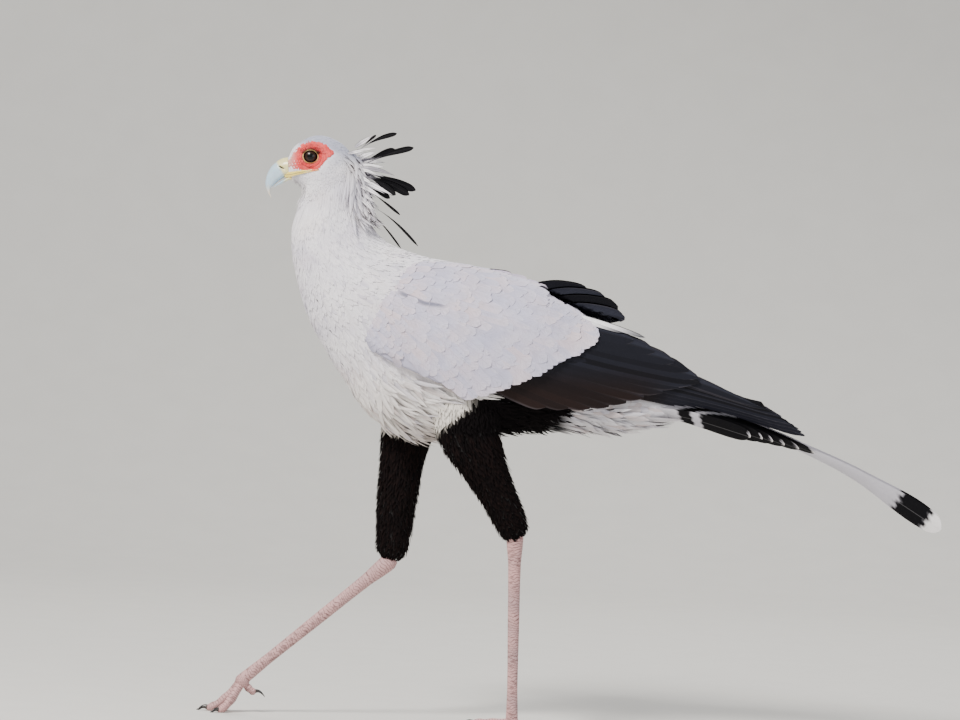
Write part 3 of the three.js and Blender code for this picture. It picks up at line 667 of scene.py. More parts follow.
def lay(batch: Batch, surface: Surface, a: Array, b: Array, lie: Lie, form: Form, paint: Paint,
        rng: Rng, bake_at: Array) -> None:
    """Lays feathers on a surface, every point of them following it: a point's way along and
    across the feather is turned by its heading into steps of the surface's parameters, and
    its height runs from the sunk root to the tip, less at the edges.

    Args:
        batch: where they go.
        surface: what they grow from.
        a: first parameter of the roots.
        b: second parameter of the roots.
        lie: their sizes and lie.
        form: their kind.
        paint: gives colours from points, share along, share across and luck.
        rng: the source of their variety.
        bake_at: each root's place in the baked image.
    """
    n = len(a)
    if not n:
        return

    def varied(value: Array | float) -> Array:
        """One value for each feather, larger or smaller by chance."""
        return np.broadcast_to(value, (n,)) * (1 + lie.vary * rng.uniform(-1, 1, n))

    length, width = varied(lie.length), varied(lie.width)
    heading = np.radians(np.broadcast_to(lie.heading, (n,)) + lie.stray * rng.normal(0, 1, n))
    rise = np.broadcast_to(lie.rise, (n,)) + lie.lift_vary * rng.normal(0, 1, n)
    luck = rng.random(n)
    w, face = form.ring()
    t = form.places()
    _, _, ea, eb = surface.frame(a, b)
    run = length[:, None, None] * t[None, :, None] + 0 * w
    half = 0.5 * width[:, None] * through(form.outline, t)[None]
    off = half[..., None] * w
    cos, sin = np.cos(heading)[:, None, None], np.sin(heading)[:, None, None]
    pa = a[:, None, None] + (run * cos - off * sin) / ea[:, None, None]
    pb = b[:, None, None] + (run * sin + off * cos) / eb[:, None, None]
    p, normal, _, _ = surface.frame(pa, pb)
    height = lie.root + (rise[:, None] - lie.root) * t[None] ** 0.7
    body = 0.5 * form.thick * (1 - 0.6 * t)[None, :, None] * face
    lift = height[..., None] + body - form.camber * half[..., None] * w**2
    vanes(batch, form, p + normal * lift[..., None], normal, run, off, paint, luck, bake_at, BAKE_SIZE)


def scatter(surface: Surface, a_range: Pair, b_range: Pair,
            spacing: float, rng: Rng, loose: float = 0.35) -> tuple[Array, Array]:
    """Roots spread evenly over part of a surface: rows a spacing apart, each row's roots the
    same distance apart along it and set off against the row before, all a little jittered.

    Args:
        surface: what they grow from.
        a_range: first parameter's range.
        b_range: second parameter's range.
        spacing: distance between roots in millimetres.
        rng: the source of the jitter.
        loose: how far a root strays, as a share of the spacing.

    Returns:
        The roots' two parameters.
    """
    fine = np.linspace(*a_range, 200)
    middle = np.full_like(fine, sum(b_range) / 2)
    steps = surface.frame(fine, middle)[2] * np.gradient(fine)
    reach = np.cumsum(steps)
    rows = np.interp(np.arange(0, reach[-1], spacing), reach, fine)
    found = []
    for i, row in enumerate(rows):
        b = np.linspace(*b_range, 160)
        run = np.cumsum(surface.frame(np.full_like(b, row), b)[3] * np.gradient(b))
        at = np.arange((i % 2) * spacing / 2, run[-1], spacing)
        at = at + loose * spacing * rng.uniform(-1, 1, len(at))
        turn = np.interp(at, run, b)
        step = (rows[1] - rows[0]) if len(rows) > 1 else 0.0
        found.append(np.stack([row + loose * step * rng.uniform(-1, 1, len(at)), turn]))
    both = np.concatenate(found, axis=1)
    return both[0], both[1]


def operator(operation: str, reflected: bool = False) -> Callable[[Value, Value | float], Value]:
    """A method that stands for a Math node.

    Args:
        operation: what the node does.
        reflected: whether the other value comes first, as in 1.0 - value.

    Returns:
        The method.
    """

    def method(self: Value, other: Value | float) -> Value:
        """The node's result for the two values."""
        return self.graph.math(operation, *((other, self) if reflected else (self, other)))

    return method


class Value:
    """A socket of a material's graph, with arithmetic that adds Math nodes."""

    def __init__(self, graph: Graph, socket: bpy.types.NodeSocket) -> None:
        """Holds the socket and the graph it belongs to."""
        self.graph, self.socket = graph, socket

    __add__, __radd__ = operator("ADD"), operator("ADD", reflected=True)
    __sub__, __rsub__ = operator("SUBTRACT"), operator("SUBTRACT", reflected=True)
    __mul__, __rmul__ = operator("MULTIPLY"), operator("MULTIPLY", reflected=True)
    __truediv__, __rtruediv__ = operator("DIVIDE"), operator("DIVIDE", reflected=True)

    def __abs__(self) -> Value:
        """This without its sign."""
        return self.graph.math("ABSOLUTE", self)

    def step(self, low: float, high: float) -> Value:
        """A smooth step of this value from 0 at low to 1 at high."""
        inputs = {"Value": self, "From Min": low, "From Max": high}
        node = self.graph.node("ShaderNodeMapRange", {"interpolation_type": "SMOOTHSTEP"}, inputs)
        return Value(self.graph, node.outputs[0])


class Graph:
    """A new material and its nodes."""

    def __init__(self, name: str) -> None:
        """Makes the material with its shader and output."""
        self.material = bpy.data.materials.new(name)
        self.material.use_nodes = True
        self.tree = self.material.node_tree
        self.shader = next(n for n in self.tree.nodes if n.type == "BSDF_PRINCIPLED")

    def feed(self, socket: bpy.types.NodeSocket, value: Value | float | Sequence[float]) -> None:
        """Links a value to a socket, or sets a constant on it."""
        if isinstance(value, Value):
            self.tree.links.new(value.socket, socket)
        else:
            socket.default_value = value

    def node(self, kind: str, settings: dict[str, object], inputs: dict[str, object]) -> bpy.types.Node:
        """Adds a node: its kind, then its settings, then its inputs by name."""
        made = self.tree.nodes.new(kind)
        for name, setting in settings.items():
            setattr(made, name, setting)
        for name, value in inputs.items():
            self.feed(made.inputs[name], value)
        return made

    def math(self, operation: str, *values: Value | float) -> Value:
        """One Math node of one to three values."""
        made = self.node("ShaderNodeMath", {"operation": operation}, {})
        for socket, value in zip(made.inputs, values):
            self.feed(socket, value)
        return Value(self, made.outputs[0])

    def attribute(self, name: str, output: str = "Color") -> Value:
        """A value stored on the mesh's points."""
        return Value(self, self.node("ShaderNodeAttribute", {"attribute_name": name}, {}).outputs[output])

    def parts(self, vector: Value) -> tuple[Value, Value, Value]:
        """The three parts of a vector."""
        outputs = self.node("ShaderNodeSeparateXYZ", {}, {"Vector": vector}).outputs
        return tuple(Value(self, output) for output in outputs)

    def vector(self, x: Value | float, y: Value | float, z: Value | float) -> Value:
        """A vector of three values."""
        return Value(self, self.node("ShaderNodeCombineXYZ", {}, {"X": x, "Y": y, "Z": z}).outputs[0])

    def noise(self, vector: Value, scale: float, detail: float = 3.0) -> Value:
        """Noise over a vector, about 0.5."""
        made = self.node("ShaderNodeTexNoise", {}, {"Vector": vector, "Scale": scale, "Detail": detail})
        return Value(self, made.outputs["Fac"])

    def cells(self, vector: Value, scale: float) -> Value:
        """How far inside its cell each point lies, from 0 at the cell's edge."""
        inputs = {"Vector": vector, "Scale": scale}
        made = self.node("ShaderNodeTexVoronoi", {"feature": "DISTANCE_TO_EDGE"}, inputs)
        return Value(self, made.outputs["Distance"])

    def place(self) -> Value:
        """Object coordinates, which are metres in the bird's frame."""
        return Value(self, self.node("ShaderNodeTexCoord", {}, {}).outputs["Object"])

    def mix(self, share: Value | float, a: Value | Sequence[float], b: Value | Sequence[float],
            blend_type: str = "MIX") -> Value:
        """Colour a turned into colour b by a share."""
        made = self.node("ShaderNodeMix", {"data_type": "RGBA", "blend_type": blend_type}, {})
        for socket, value in zip((made.inputs[0], made.inputs[6], made.inputs[7]), (share, a, b)):
            self.feed(socket, value)
        return Value(self, made.outputs[2])

    def bump(self, height: Value, strength: float, depth: float) -> None:
        """Feeds a height into the shader's normal."""
        made = self.node("ShaderNodeBump", {}, {"Height": height, "Strength": strength, "Distance": depth})
        self.feed(self.shader.inputs["Normal"], Value(self, made.outputs[0]))

    def finish(self, **inputs: object) -> bpy.types.Material:
        """Sets the shader's inputs, named with underscores, and gives the material."""
        for name, value in inputs.items():
            self.feed(self.shader.inputs[name.replace("_", " ")], value)
        return self.material


def rgba(colour: Array) -> tuple[float, float, float, float]:
    """A linear colour with full cover."""
    return (*map(float, colour), 1.0)


@dataclass(frozen=True)
class Plumage:
    """A feather's finish: the points' tint with barbs slanting from the shaft to the edge.

    Attributes:
        name: the material's name.
        barbs: barbs to a millimetre.
        streak: how strongly the barbs and their gaps vary the colour.
        relief: strength of their bump.
        rough: base roughness.
        sheen: weight of the soft sheen.
        shaft: colour of the shaft, whose cover is how strongly it shows.
        shine: level of the mirror-like reflection.
    """

    name: str
    barbs: float = 1.6
    streak: float = 0.18
    relief: float = 0.35
    rough: float = 0.72
    sheen: float = 0.25
    shaft: tuple[float, float, float, float] = (0.6, 0.58, 0.6, 0.15)
    shine: float = 0.3

    def material(self) -> bpy.types.Material:
        """Builds the material."""
        g = Graph(self.name)
        tint = g.attribute("Tint")
        across, along_it, luck = g.parts(g.attribute("Place", "Vector"))
        out = abs(across)
        slant = g.vector((along_it - out * 1.3) * self.barbs, out * 0.12, luck * 40.0)
        barbs = g.noise(slant, 1.0, 2.0)
        patches = g.noise(g.place(), 60.0)
        shade = 1.0 + (barbs - 0.5) * (2.0 * self.streak) + (patches - 0.5) * 0.16
        coloured = g.mix(1.0, tint, g.vector(shade, shade, shade), "MULTIPLY")
        near = (1.0 - out.step(0.15, 0.6)) * self.shaft[3]
        colour = g.mix(near, coloured, (*self.shaft[:3], 1.0))
        g.bump(barbs + (1.0 - out.step(0.1, 0.7)) * 0.8, self.relief, 0.0006)
        return g.finish(Base_Color=colour, Roughness=self.rough + (barbs - 0.5) * 0.3,
                        Sheen_Weight=self.sheen, Sheen_Roughness=0.5, Specular_IOR_Level=self.shine)


@dataclass(frozen=True)
class Skin:
    """Bare skin or horn: the points' tint, mottled, with fine wrinkles or cells.

    Attributes:
        name: the material's name.
        mottle: how strongly the colour varies.
        cell: cells to a metre, none at 0.
        relief: strength of the bump.
        rough: base roughness.
        coat: weight of the clear coat.
        soft: weight of the light that passes under the surface.
        shine: level of the mirror-like reflection.
    """

    name: str
    mottle: float = 0.2
    cell: float = 0.0
    relief: float = 0.4
    rough: float = 0.5
    coat: float = 0.0
    soft: float = 0.0
    shine: float = 0.4

    def material(self) -> bpy.types.Material:
        """Builds the material."""
        g = Graph(self.name)
        tint, place = g.attribute("Tint"), g.place()
        broad, fine = g.noise(place, 140.0), g.noise(place, 900.0)
        shade = 1.0 + (broad - 0.5) * (2.0 * self.mottle) + (fine - 0.5) * self.mottle
        height = fine * 0.5
        if self.cell:
            height = height + g.cells(place, self.cell).step(0.0, 0.12)
        g.bump(height, self.relief, 0.0005)
        colour = g.mix(1.0, tint, g.vector(shade, shade, shade), "MULTIPLY")
        return g.finish(Base_Color=colour, Roughness=self.rough + (fine - 0.5) * 0.25,
                        Coat_Weight=self.coat, Coat_Roughness=0.25, Subsurface_Weight=self.soft,
                        Subsurface_Scale=0.002, Specular_IOR_Level=self.shine)


@dataclass(frozen=True)
class Finishes:
    """Every material of the bird."""

    pale: bpy.types.Material
    wing: bpy.types.Material
    tail: bpy.types.Material
    black: bpy.types.Material
    velvet: bpy.types.Material
    face: bpy.types.Material
    horn: bpy.types.Material
    leg: bpy.types.Material
    claw: bpy.types.Material
    eye: bpy.types.Material

    @classmethod
    def make(cls) -> Finishes:
        """Builds them all."""
        return cls(
            pale=Plumage("Pale plumage", barbs=1.2, streak=0.2).material(),
            wing=Plumage("Wing coverts", barbs=0.8, streak=0.3, relief=0.6).material(),
            tail=Plumage("Tail vanes", barbs=0.9, streak=0.12, sheen=0.0, shine=0.12,
                         shaft=(0.6, 0.58, 0.6, 0.14)).material(),
            black=Plumage("Black plumage", barbs=1.0, streak=0.3, rough=0.6, sheen=0.0, shine=0.12,
                          shaft=(0.02, 0.018, 0.02, 0.5)).material(),
            velvet=Plumage("Black down", streak=0.3, relief=0.2, rough=0.85, sheen=0.0, shine=0.05,
                           shaft=(0.01, 0.008, 0.008, 0.2)).material(),
            face=Skin("Bare face", mottle=0.26, cell=620.0, relief=0.5, rough=0.45, soft=0.12).material(),
            horn=Skin("Bill horn", mottle=0.12, relief=0.12, rough=0.3, coat=0.4, soft=0.06).material(),
            leg=Skin("Scaled leg", cell=420.0, relief=0.25, rough=0.55).material(),
            claw=Skin("Claw horn", mottle=0.3, relief=0.15, rough=0.32, coat=0.3).material(),
            eye=Skin("Iris", mottle=0.25, relief=0.02, rough=0.22, coat=0.35, shine=0.12).material(),
        )


def ripple(points: Array, scale: float, seed: float) -> Array:
    """A smooth uneven value from 0 to 1 over space: a product of three slanted waves."""
    x, y, z = (points[..., i] * scale for i in range(3))
    wave = np.sin(x + 1.7 * np.sin(z * 0.8 + seed)) * np.sin(z * 1.3 + 1.1 * np.sin(x * 0.6 - seed))
    return 0.5 + 0.5 * wave * np.cos(y * 0.7 + seed)


def vent_side(x: Array, z: Array) -> Array:
    """1 behind the slanting line where the pale belly ends and the black begins, 0 ahead."""
    return blend(-10, 8, x + 59 - 1.03 * (z - 450))


def thigh_tint(p: Array) -> Array:
    """Black, with the belly's cream over the front of its top."""
    pale = (1 - vent_side(p[..., 0], p[..., 2])) * blend(438, 446, p[..., 2])
    return mix(SOOT + 0 * p, CREAM * 0.85, pale)


def body_tint(p: Array, root: Array | None = None) -> Array:
    """The body's colours over space: a grey crown, white neck with lavender clouds, cream
    belly with painted shade low on it by the thighs, black round the thighs and vent, pale tail coverts.

    Args:
        p: places on skin or feathers.
        root: for feathers, their roots, so that each is all black or all pale at the vent.

    Returns:
        A colour for each place.
    """
    x, y, z = p[..., 0], p[..., 1], p[..., 2]
    clouds = ripple(p, 0.045, 1.0) * (0.4 + 0.6 * ripple(p, 0.13, 4.0))
    crown = blend(838, 862, z + 0.18 * (x + 250)) * blend(-292, -285, x + 0 * z)
    cheek = np.exp(-(((x + 232) / 18) ** 2) - ((z - 838) / 9) ** 2)
    # Painted shade: grey brown low on the front of the belly, towards the thighs.
    fringe = (1 - blend(434, 466, z)) * blend(-150, -60, x)
    back = blend(15, 28, z - (700 - 0.45 * np.maximum(x + 50, 0)) + 30) * blend(-90, -40, x)
    x0, z0 = (x, z) if root is None else (root[..., 0] + 0 * x, root[..., 2] + 0 * z)
    vent = vent_side(x0, z0) * (1 - blend(118, 140, x0)) * (1 - blend(516, 534, z0 - 0.12 * x0))
    tail = blend(122, 150, x) * (1 - blend(640, 660, z))
    # The grey brown layer laid by fringe is painted shade; the other layers are the plumage's own colours.
    return over(mix(WHITE, LAVENDER, 0.75 * clouds), (BUFF, 0.3 * ripple(p, 0.06, 7.0) ** 3),
                (CROWN_GREY, 0.9 * crown), (CROWN_GREY, 0.45 * cheek),
                (CREAM, 0.7 * (1 - blend(470, 560, z))), (srgb(150, 132, 122), 0.55 * fringe),
                (COVERT_GREY, 0.6 * back), (SOOT, vent), (srgb(208, 204, 208), tail))


def soft(colour: Array, t: Array, w: Array, luck: Array, dark: float = 0.06) -> Array:
    """A feather's painted shade: a little darker at its root, where the feathers over it shade it, by the
    share dark; and paler at its edge, each unlike.
    """
    # The darkening towards the root is painted shade.
    shade = 1 - dark * (1 - t) + 0.03 * np.abs(w) + 0.08 * (luck - 0.5)
    return np.clip(colour * shade[..., None], 0, 1)


def body_paint(points: Array, t: Array, w: Array, luck: Array) -> Array:
    """The body's markings on its feathers, some of them greyer or warmer than the rest."""
    base = body_tint(points, points[:, :1, :1])
    pale = blend(0.2, 0.5, base[..., 1])
    base = mix(base, LAVENDER * 0.72, 0.5 * blend(0.72, 1.0, luck) * pale)
    low = 1 - blend(480, 580, points[..., 2])
    base = mix(base, BUFF * 0.7, 0.5 * blend(0.3, 0.0, luck) * pale * low)
    return soft(base, t, w, luck, 0.12)


def covert_paint(points: Array, t: Array, w: Array, luck: Array) -> Array:
    """Pale lavender grey with buff mottling, a paler fringe at the tip, painted shade along the wing's front
    edge and a painted shadow just outside the shoulder feathers.
    """
    warm = ripple(points, 0.045, 2.0) * (0.4 + 0.6 * blend(0.2, 0.9, luck))
    cool = ripple(points, 0.075, 5.0) * (0.5 + 0.5 * blend(0.8, 0.2, luck))
    x, z = points[..., 0], points[..., 2]
    # Painted shade along the front and lower edge of the coverts, where the breast feathers lap over the
    # wing.
    front = blend(16, 2, inside_by(COVERT_REGION, x, z)) * blend(-40, -120, x) * blend(640, 600, z)
    under = inside_by(MANTLE_REGION, x, z)
    # Painted shadow: a thin dark band just outside the edge of the shoulder feathers, on some feathers only.
    gap = blend(-8, -3, under) * blend(2, -1, under) * blend(-48, -66, x) * blend(-132, -118, x)
    # Of these layers, the two darker greys laid by front and gap are painted shade.
    base = over(COVERT_GREY + 0 * points, (BUFF, 0.75 * warm), (srgb(184, 184, 210), 0.7 * cool),
                (WHITE, 0.12 * blend(0.7, 1.0, t)), (srgb(132, 132, 150), 0.6 * front),
                (srgb(96, 98, 118), 0.85 * gap * (luck > 0.35)))
    return soft(base, t, w, luck, 0.1)


def black_paint(points: Array, t: Array, w: Array, luck: Array) -> Array:
    """Velvet black, browner at the tips of some, and cream where the belly laps over."""
    base = thigh_tint(points[:, :1, :1]) + 0 * points
    base = mix(base, BROWN_BLACK, 0.8 * luck * t**2 * (points[..., 2] < 440))
    return soft(base, t, w, luck)


def flight_paint(points: Array, t: Array, w: Array, luck: Array) -> Array:
    """Blue black with a brown cast, a faint painted highlight along one web and a thin painted highlight at
    the edge.
    """
    low = (1 - blend(500, 560, points[..., 2])) * (1 - blend(220, 300, points[..., 0]))
    base = mix(mix(INK, BLUE_BLACK, luck * (1 - low)), BROWN_BLACK, low * (0.4 + 0.6 * luck))
    # Painted highlight: a faint blue grey streak along the outer web.
    outer = 0.1 * blend(0.0, 0.2, w) * (1 - blend(0.6, 1.0, w)) * blend(0.3, 0.7, luck)
    base = mix(base, srgb(104, 106, 124), outer * (1 - 0.6 * low))
    # Painted highlight: a paler line along each edge of some feathers.
    pale = 0.25 * blend(0.88, 1.0, np.abs(w)) * blend(0.35, 0.8, t) * luck
    return soft(mix(base, srgb(120, 112, 118), pale), t, w, luck)


def edge_paint(points: Array, t: Array, w: Array, luck: Array) -> Array:
    """White that darkens to blue black: the pale margin of the uppermost flight feather."""
    return mix(WHITE + 0 * points, BLUE_BLACK, blend(0.45, 1.0, t))


def banded(t: Array, bands: Sequence[Pair]) -> Array:
    """How much of the dark bands covers each share of a feather's length."""
    soften = 0.012
    cover = np.zeros_like(t)
    for low, high in bands:
        cover = np.maximum(cover, blend(low - soften, low, t) * (1 - blend(high, high + soften, t)))
    return cover


def tail_paint(bands: Sequence[Pair], slant: float) -> Paint:
    """Grey, darker towards the bands, with black bands that slant and a white tip."""

    def paint(points: Array, t: Array, w: Array, luck: Array) -> Array:
        """Colours of one kind of tail feather."""
        ragged = t + 0.008 * np.cos(w * 9 + luck * 6) + slant * w
        base = mix(TAIL_GREY, srgb(160, 156, 164), 0.5 * blend(0.3, 0.85, t))
        base = mix(base, srgb(235, 231, 230), blend(bands[-1][1], bands[-1][1] + 0.01, t))
        return soft(mix(base, INK, banded(ragged, bands)), t, w, luck, 0.1)

    return paint


def plume_paint(own: Array) -> Paint:
    """Pale at the bare shaft, and the plume's own colour beyond."""

    def paint(points: Array, t: Array, w: Array, luck: Array) -> Array:
        """Colours of one crest plume."""
        return mix(srgb(196, 192, 200) + 0 * points, own, blend(0.2, 0.45, t))

    return paint


def head_surface(x: Array, z: Array, deep: float) -> Array:
    """How far out the head stands at (x, z) of the side view, found on a fine table of
    sections: the section whose line passes through the point gives its half width there."""
    centre, up, half = BodySurface().rows(np.linspace(0, HEAD_END, 500))
    up_x, up_z = up[:, 0], up[:, 2]
    off_x, off_z = x[..., None] - centre[:, 0], z[..., None] - centre[:, 2]
    tall = np.hypot(up_x, up_z)
    pick = np.abs((off_x * up_z - off_z * up_x) / tall).argmin(-1)[..., None]
    rise = np.take_along_axis((off_x * up_x + off_z * up_z) / tall**2, pick, -1)[..., 0]
    return (half[pick[..., 0]] - deep) * np.sqrt(np.clip(1 - rise**2, 0, 1))


# Thigh and shin from the top: a place (x, y, z), the radius fore and aft and the radius across.
THIGHS = {
    Side.LEFT: ((-22, -40, 505, 62, 34), (-15, -42, 462, 55, 33), (-7, -42, 432, 47, 31),
                (12, -41, 398, 38, 28), (34, -38, 358, 31, 25), (54, -36, 322, 28, 23),
                (64, -35, 300, 25, 20), (69, -35, 289, 18, 15)),
    Side.RIGHT: ((-78, 40, 505, 56, 34), (-95, 42, 462, 48, 32), (-105, 42, 430, 41, 30),
                 (-110, 40, 388, 35, 27), (-114, 38, 335, 33, 25), (-116, 37, 290, 30, 23),
                 (-118, 36, 256, 26, 20), (-120, 36, 244, 17, 15)),
}

# The shank's length, its radii fore and aft and across against the share of it, and how a toe's
# thickness varies along it.
TARSUS = 288.0
TARSUS_FORM = ((-0.03, 9, 8), (0, 12.6, 11), (0.06, 12, 10.4), (0.16, 9.6, 8.2), (0.5, 8.6, 7),
               (0.8, 7.8, 6.8), (0.91, 8.6, 8.2), (0.985, 9.2, 9.4))
TOE_FORM = ((0, 1.05), (0.3, 0.88), (0.48, 1), (0.66, 0.84), (0.82, 0.94), (1, 0.6))


@dataclass(frozen=True)
class Toe:
    """One toe: bearing from straight ahead towards the midline in degrees, lengths in mm."""

    name: str
    bearing: float
    long: float
    claw: float
    thick: float


TOES = (Toe("inner", bearing=34, long=44, claw=16, thick=7),
        Toe("middle", bearing=2, long=60, claw=16, thick=7.6),
        Toe("outer", bearing=-32, long=46, claw=14, thick=6.8),
        Toe("hind", bearing=172, long=24, claw=15, thick=6))

# The spacing of the broad plates and of the small scales, on the shank and on the toes, how far
# a scale stands out, and the radius of the foot's ball.
SHANK_PLATE, SHANK_SCALE, TOE_PLATE, TOE_SCALE = 6.5, 4.8, 4.2, 2.4
SHANK_RELIEF, TOE_RELIEF = 0.4, 0.35
FOOT_BALL = 10.8


def with_edge(colour: Array) -> Array:
    """Colours with a fourth value of 0."""
    return np.concatenate([colour, np.zeros(colour.shape[:-1] + (1,))], -1)


def flat_tint(shape: tuple[int, ...], colour: Array) -> Array:
    """One colour, with a fourth value of 0, for a whole grid."""
    return with_edge(np.broadcast_to(colour, shape + (3,)))


def rod(batch: Batch, spine: Array, ring: Array, thick: Array, colour: Array, patch: Patch) -> None:
    """Adds a thin rod along a spine: a ring of directions, as far out as it is thick."""
    grid = spine[:, None] + ring * thick[..., None]
    tube(batch, grid, flat_tint(grid.shape[:2], colour), patch)


BODY_PATCH: Patch = (0.0, 0.0, 1.0, 0.6)
THIGH_PATCHES: tuple[Patch, Patch] = ((0.0, 0.62, 0.48, 0.37), (0.5, 0.62, 0.48, 0.37))


@dataclass
class Body:
    """The skin and the contour feathers of head, neck, torso and thighs."""

    finishes: Finishes
    rng: Rng

    def skin(self) -> None:
        """One skin for the body and both thighs, in the plumage's colours."""
        batch = Batch()
        a = np.concatenate([np.linspace(0.02, HEAD_END, 220)[:-1], np.linspace(HEAD_END, 18.8, 150)])
        b = np.linspace(-np.pi, np.pi, 161)[:-1]
        grid = BodySurface().point(*np.meshgrid(a, b, indexing="ij"))
        tube(batch, grid, with_edge(body_tint(grid)), BODY_PATCH)
        for side, patch in zip(Side, THIGH_PATCHES):
            share, turn = np.meshgrid(np.linspace(0.02, 0.985, 60), turns(48), indexing="ij")
            grid = LimbSurface(THIGHS[side], TROUSER_DEPTH).point(share, turn)
            tube(batch, grid, with_edge(thigh_tint(grid)), patch)
        piece = batch.emit("skin", self.finishes.pale, "pale_plumage")
        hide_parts("head", "neck", "torso", "thigh_left", "thigh_right")

    def mantle(self) -> None:
        """The long soft feathers of back and shoulders, which lap over both wings."""
        batch, surface = Batch(), MantleSurface()
        a, b = scatter(surface, (-150, 84), (-84, 84), 13.5, self.rng)
        long = 40 + 0.13 * (a + 150)
        tip = surface.point(a + long, b)
        keep = np.abs(b) < 0.86 * through(WING_OUT, a)
        keep &= inside_by(MANTLE_REGION, tip[:, 0], tip[:, 2]) > 0
        a, b, long = a[keep], b[keep], long[keep]
        lie = Lie(long, long * 0.34, rise=1.3, heading=-4 * np.sign(b), stray=5, lift_vary=0.3, root=-3.0)
        lay(batch, surface, a, b, lie, COVERT, covert_paint, self.rng, unwrap(a, b, (-155, 90), (-88, 88)))
        batch.emit("mantle", self.finishes.wing, "wing_plumage")

    def grow(self, name: str, surface: Surface, a_range: Pair, b_range: Pair, spacing: float,
             lie: Lie | Callable[[Array], Lie], form: Form,
             keep: Callable[[Array], Array] | None = None, black: bool = False) -> None:
        """Feathers over part of a surface, as a piece.

        Args:
            name: the piece's name.
            surface: what they grow from.
            a_range: first parameter's range.
            b_range: the turn's range.
            spacing: distance between roots.
            lie: their sizes and lie, or what gives them from the first parameter.
            form: their kind.
            keep: says from their places which roots stay, all of them without it.
            black: whether they are black rather than pale.
        """
        batch = Batch()
        a, b = scatter(surface, a_range, b_range, spacing, self.rng)
        if keep is not None:
            chosen = keep(surface.point(a, b))
            a, b = a[chosen], b[chosen]
        turned = np.mod(b + np.pi, 2 * np.pi) - np.pi
        lie = lie(a) if callable(lie) else lie
        paint = black_paint if black else body_paint
        lay(batch, surface, a, b, lie, form, paint, self.rng, unwrap(a, turned, a_range, ALL_ROUND))
        finish = self.finishes.velvet if black else self.finishes.pale
        batch.emit(name, finish, "black_plumage" if black else "pale_plumage")

    def coats(self) -> None:
        """The close coats of head, neck and torso, and the coverts of the tail."""

        def close(long: float, wide: float, stray: float) -> Callable[[Array], Lie]:
            """Feathers of one size that lie close, higher where the plumage is deeper."""

            def lie(a: Array) -> Lie:
                """Their lie at each station."""
                deep = through(DEPTH, a)
                unlike = 0.13 * float(deep.mean())
                return Lie(long, wide, rise=deep * 0.6, stray=stray, lift_vary=unlike, root=-0.6)

            return lie

        def off_face(p: Array) -> Array:
            """Roots outside the bare face and the mouth's corner."""
            bare = inside_by(FACE, p[:, 0], p[:, 2]) > -1.5
            return ~(bare & (np.abs(p[:, 1]) > 6))

        def in_the_open(p: Array) -> Array:
            """Roots that the folded wings and the black vent don't hide."""
            x, y, z = p.T
            share = (z - through(WING_LOW, x)) / (through(WING_TOP, x) - through(WING_LOW, x))
            under = (x > -160) & (x < 300) & (share > 0.14) & (share < 0.93)
            hidden = under & (np.abs(y) < np.abs(WingSurface(Side.RIGHT).point(x, z)[:, 1]) - 5)
            return ~hidden | (share > 0.8) & (x > -120)

        skin = BodySurface()
        self.grow("head_coat", skin, (0.35, 5.4), ALL_ROUND, 2.3, close(9, 3.4, 6), SMALL, off_face)
        self.grow("neck_coat", skin, (5.0, 8.4), ALL_ROUND, 3.7, close(27, 5.2, 9), LANCE)
        self.grow("torso_coat", skin, (8.0, 16.4), ALL_ROUND, 6.2, close(34, 11, 8), LANCE, in_the_open)
        self.grow("tail_coverts", skin, (15.2, 18.4), ALL_ROUND, 10, close(44, 17, 6), COVERT)

    def loose(self) -> None:
        """Longer loose feathers that break the outline, pale and black."""

        def ahead_of_vent(p: Array) -> Array:
            """Roots on the belly, ahead of the black."""
            return (vent_side(p[:, 0] + 14, p[:, 2]) < 0.5) & (p[:, 0] > -150) & (p[:, 2] < 520)

        def in_vent(p: Array) -> Array:
            """Roots in the black behind the thighs."""
            return (vent_side(p[:, 0], p[:, 2]) > 0.9) & (p[:, 0] < 118) & (p[:, 2] < 505)

        skin = BodySurface()
        ruff = Lie(40, 4.6, rise=15, stray=12, lift_vary=4.5, vary=0.35)
        beard = Lie(13, 2, rise=3.5, stray=10, lift_vary=1.5, vary=0.3)
        skirt = Lie(40, 7, rise=9, stray=16, lift_vary=4, vary=0.3)
        under = Lie(52, 10, rise=9, stray=9, lift_vary=3, vary=0.25)
        shaggy = Lie(32, 5, rise=7, stray=24, lift_vary=4.5, vary=0.4)
        throat = np.pi * 0.8, np.pi * 1.2
        flanks = np.pi * 0.56, np.pi * 1.44
        below = np.pi * 0.6, np.pi * 1.4
        self.grow("nape_ruff", skin, (4.35, 6.9), (-0.75, 0.75), 5.0, ruff, LANCE)
        self.grow("chin_bristles", skin, (0.5, 4.0), throat, 3.6, beard, LANCE)
        self.grow("belly_fringe", skin, (11.2, 13.4), flanks, 6.0, skirt, LANCE, ahead_of_vent)
        self.grow("under_tail", skin, (15.0, 17.6), below, 8.0, under, LANCE)
        for side in Side:
            thigh = LimbSurface(THIGHS[side], TROUSER_DEPTH)
            self.grow(f"trouser_{side.label}", thigh, (0.03, 0.95), ALL_ROUND, 3.8,
                      lambda a: Lie(18 - 7 * a, 4.4 - 1.2 * a, rise=5.0 - 2 * a, stray=11, lift_vary=1.0),
                      LANCE, black=True)
        self.grow("vent_fringe", skin, (12.7, 15.2), below, 4.2, shaggy, LANCE, in_vent, black=True)

    def build(self) -> None:
        """Every piece of the body."""
        self.skin()
        self.mantle()
        self.coats()
        self.loose()


# Where the wing's arm starts, and how far it stops short of the coverts' rear edge.
ARM_FRONT, ARM_SHORT = -184.0, 46.0

# The rows of rear coverts: how far the tips stand back from the edge, length, half width, count
# and height of the tips.
TIERS = ((0, 92, 12.5, 38, 0.1), (30, 90, 14, 30, 0.4), (62, 80, 14, 26, 0.7))

# A long feather's patch in the baked image, and how far apart patches stand.
LONG_PATCH, LONG_STEP = (0.022, 0.31), (0.0245, 0.33)


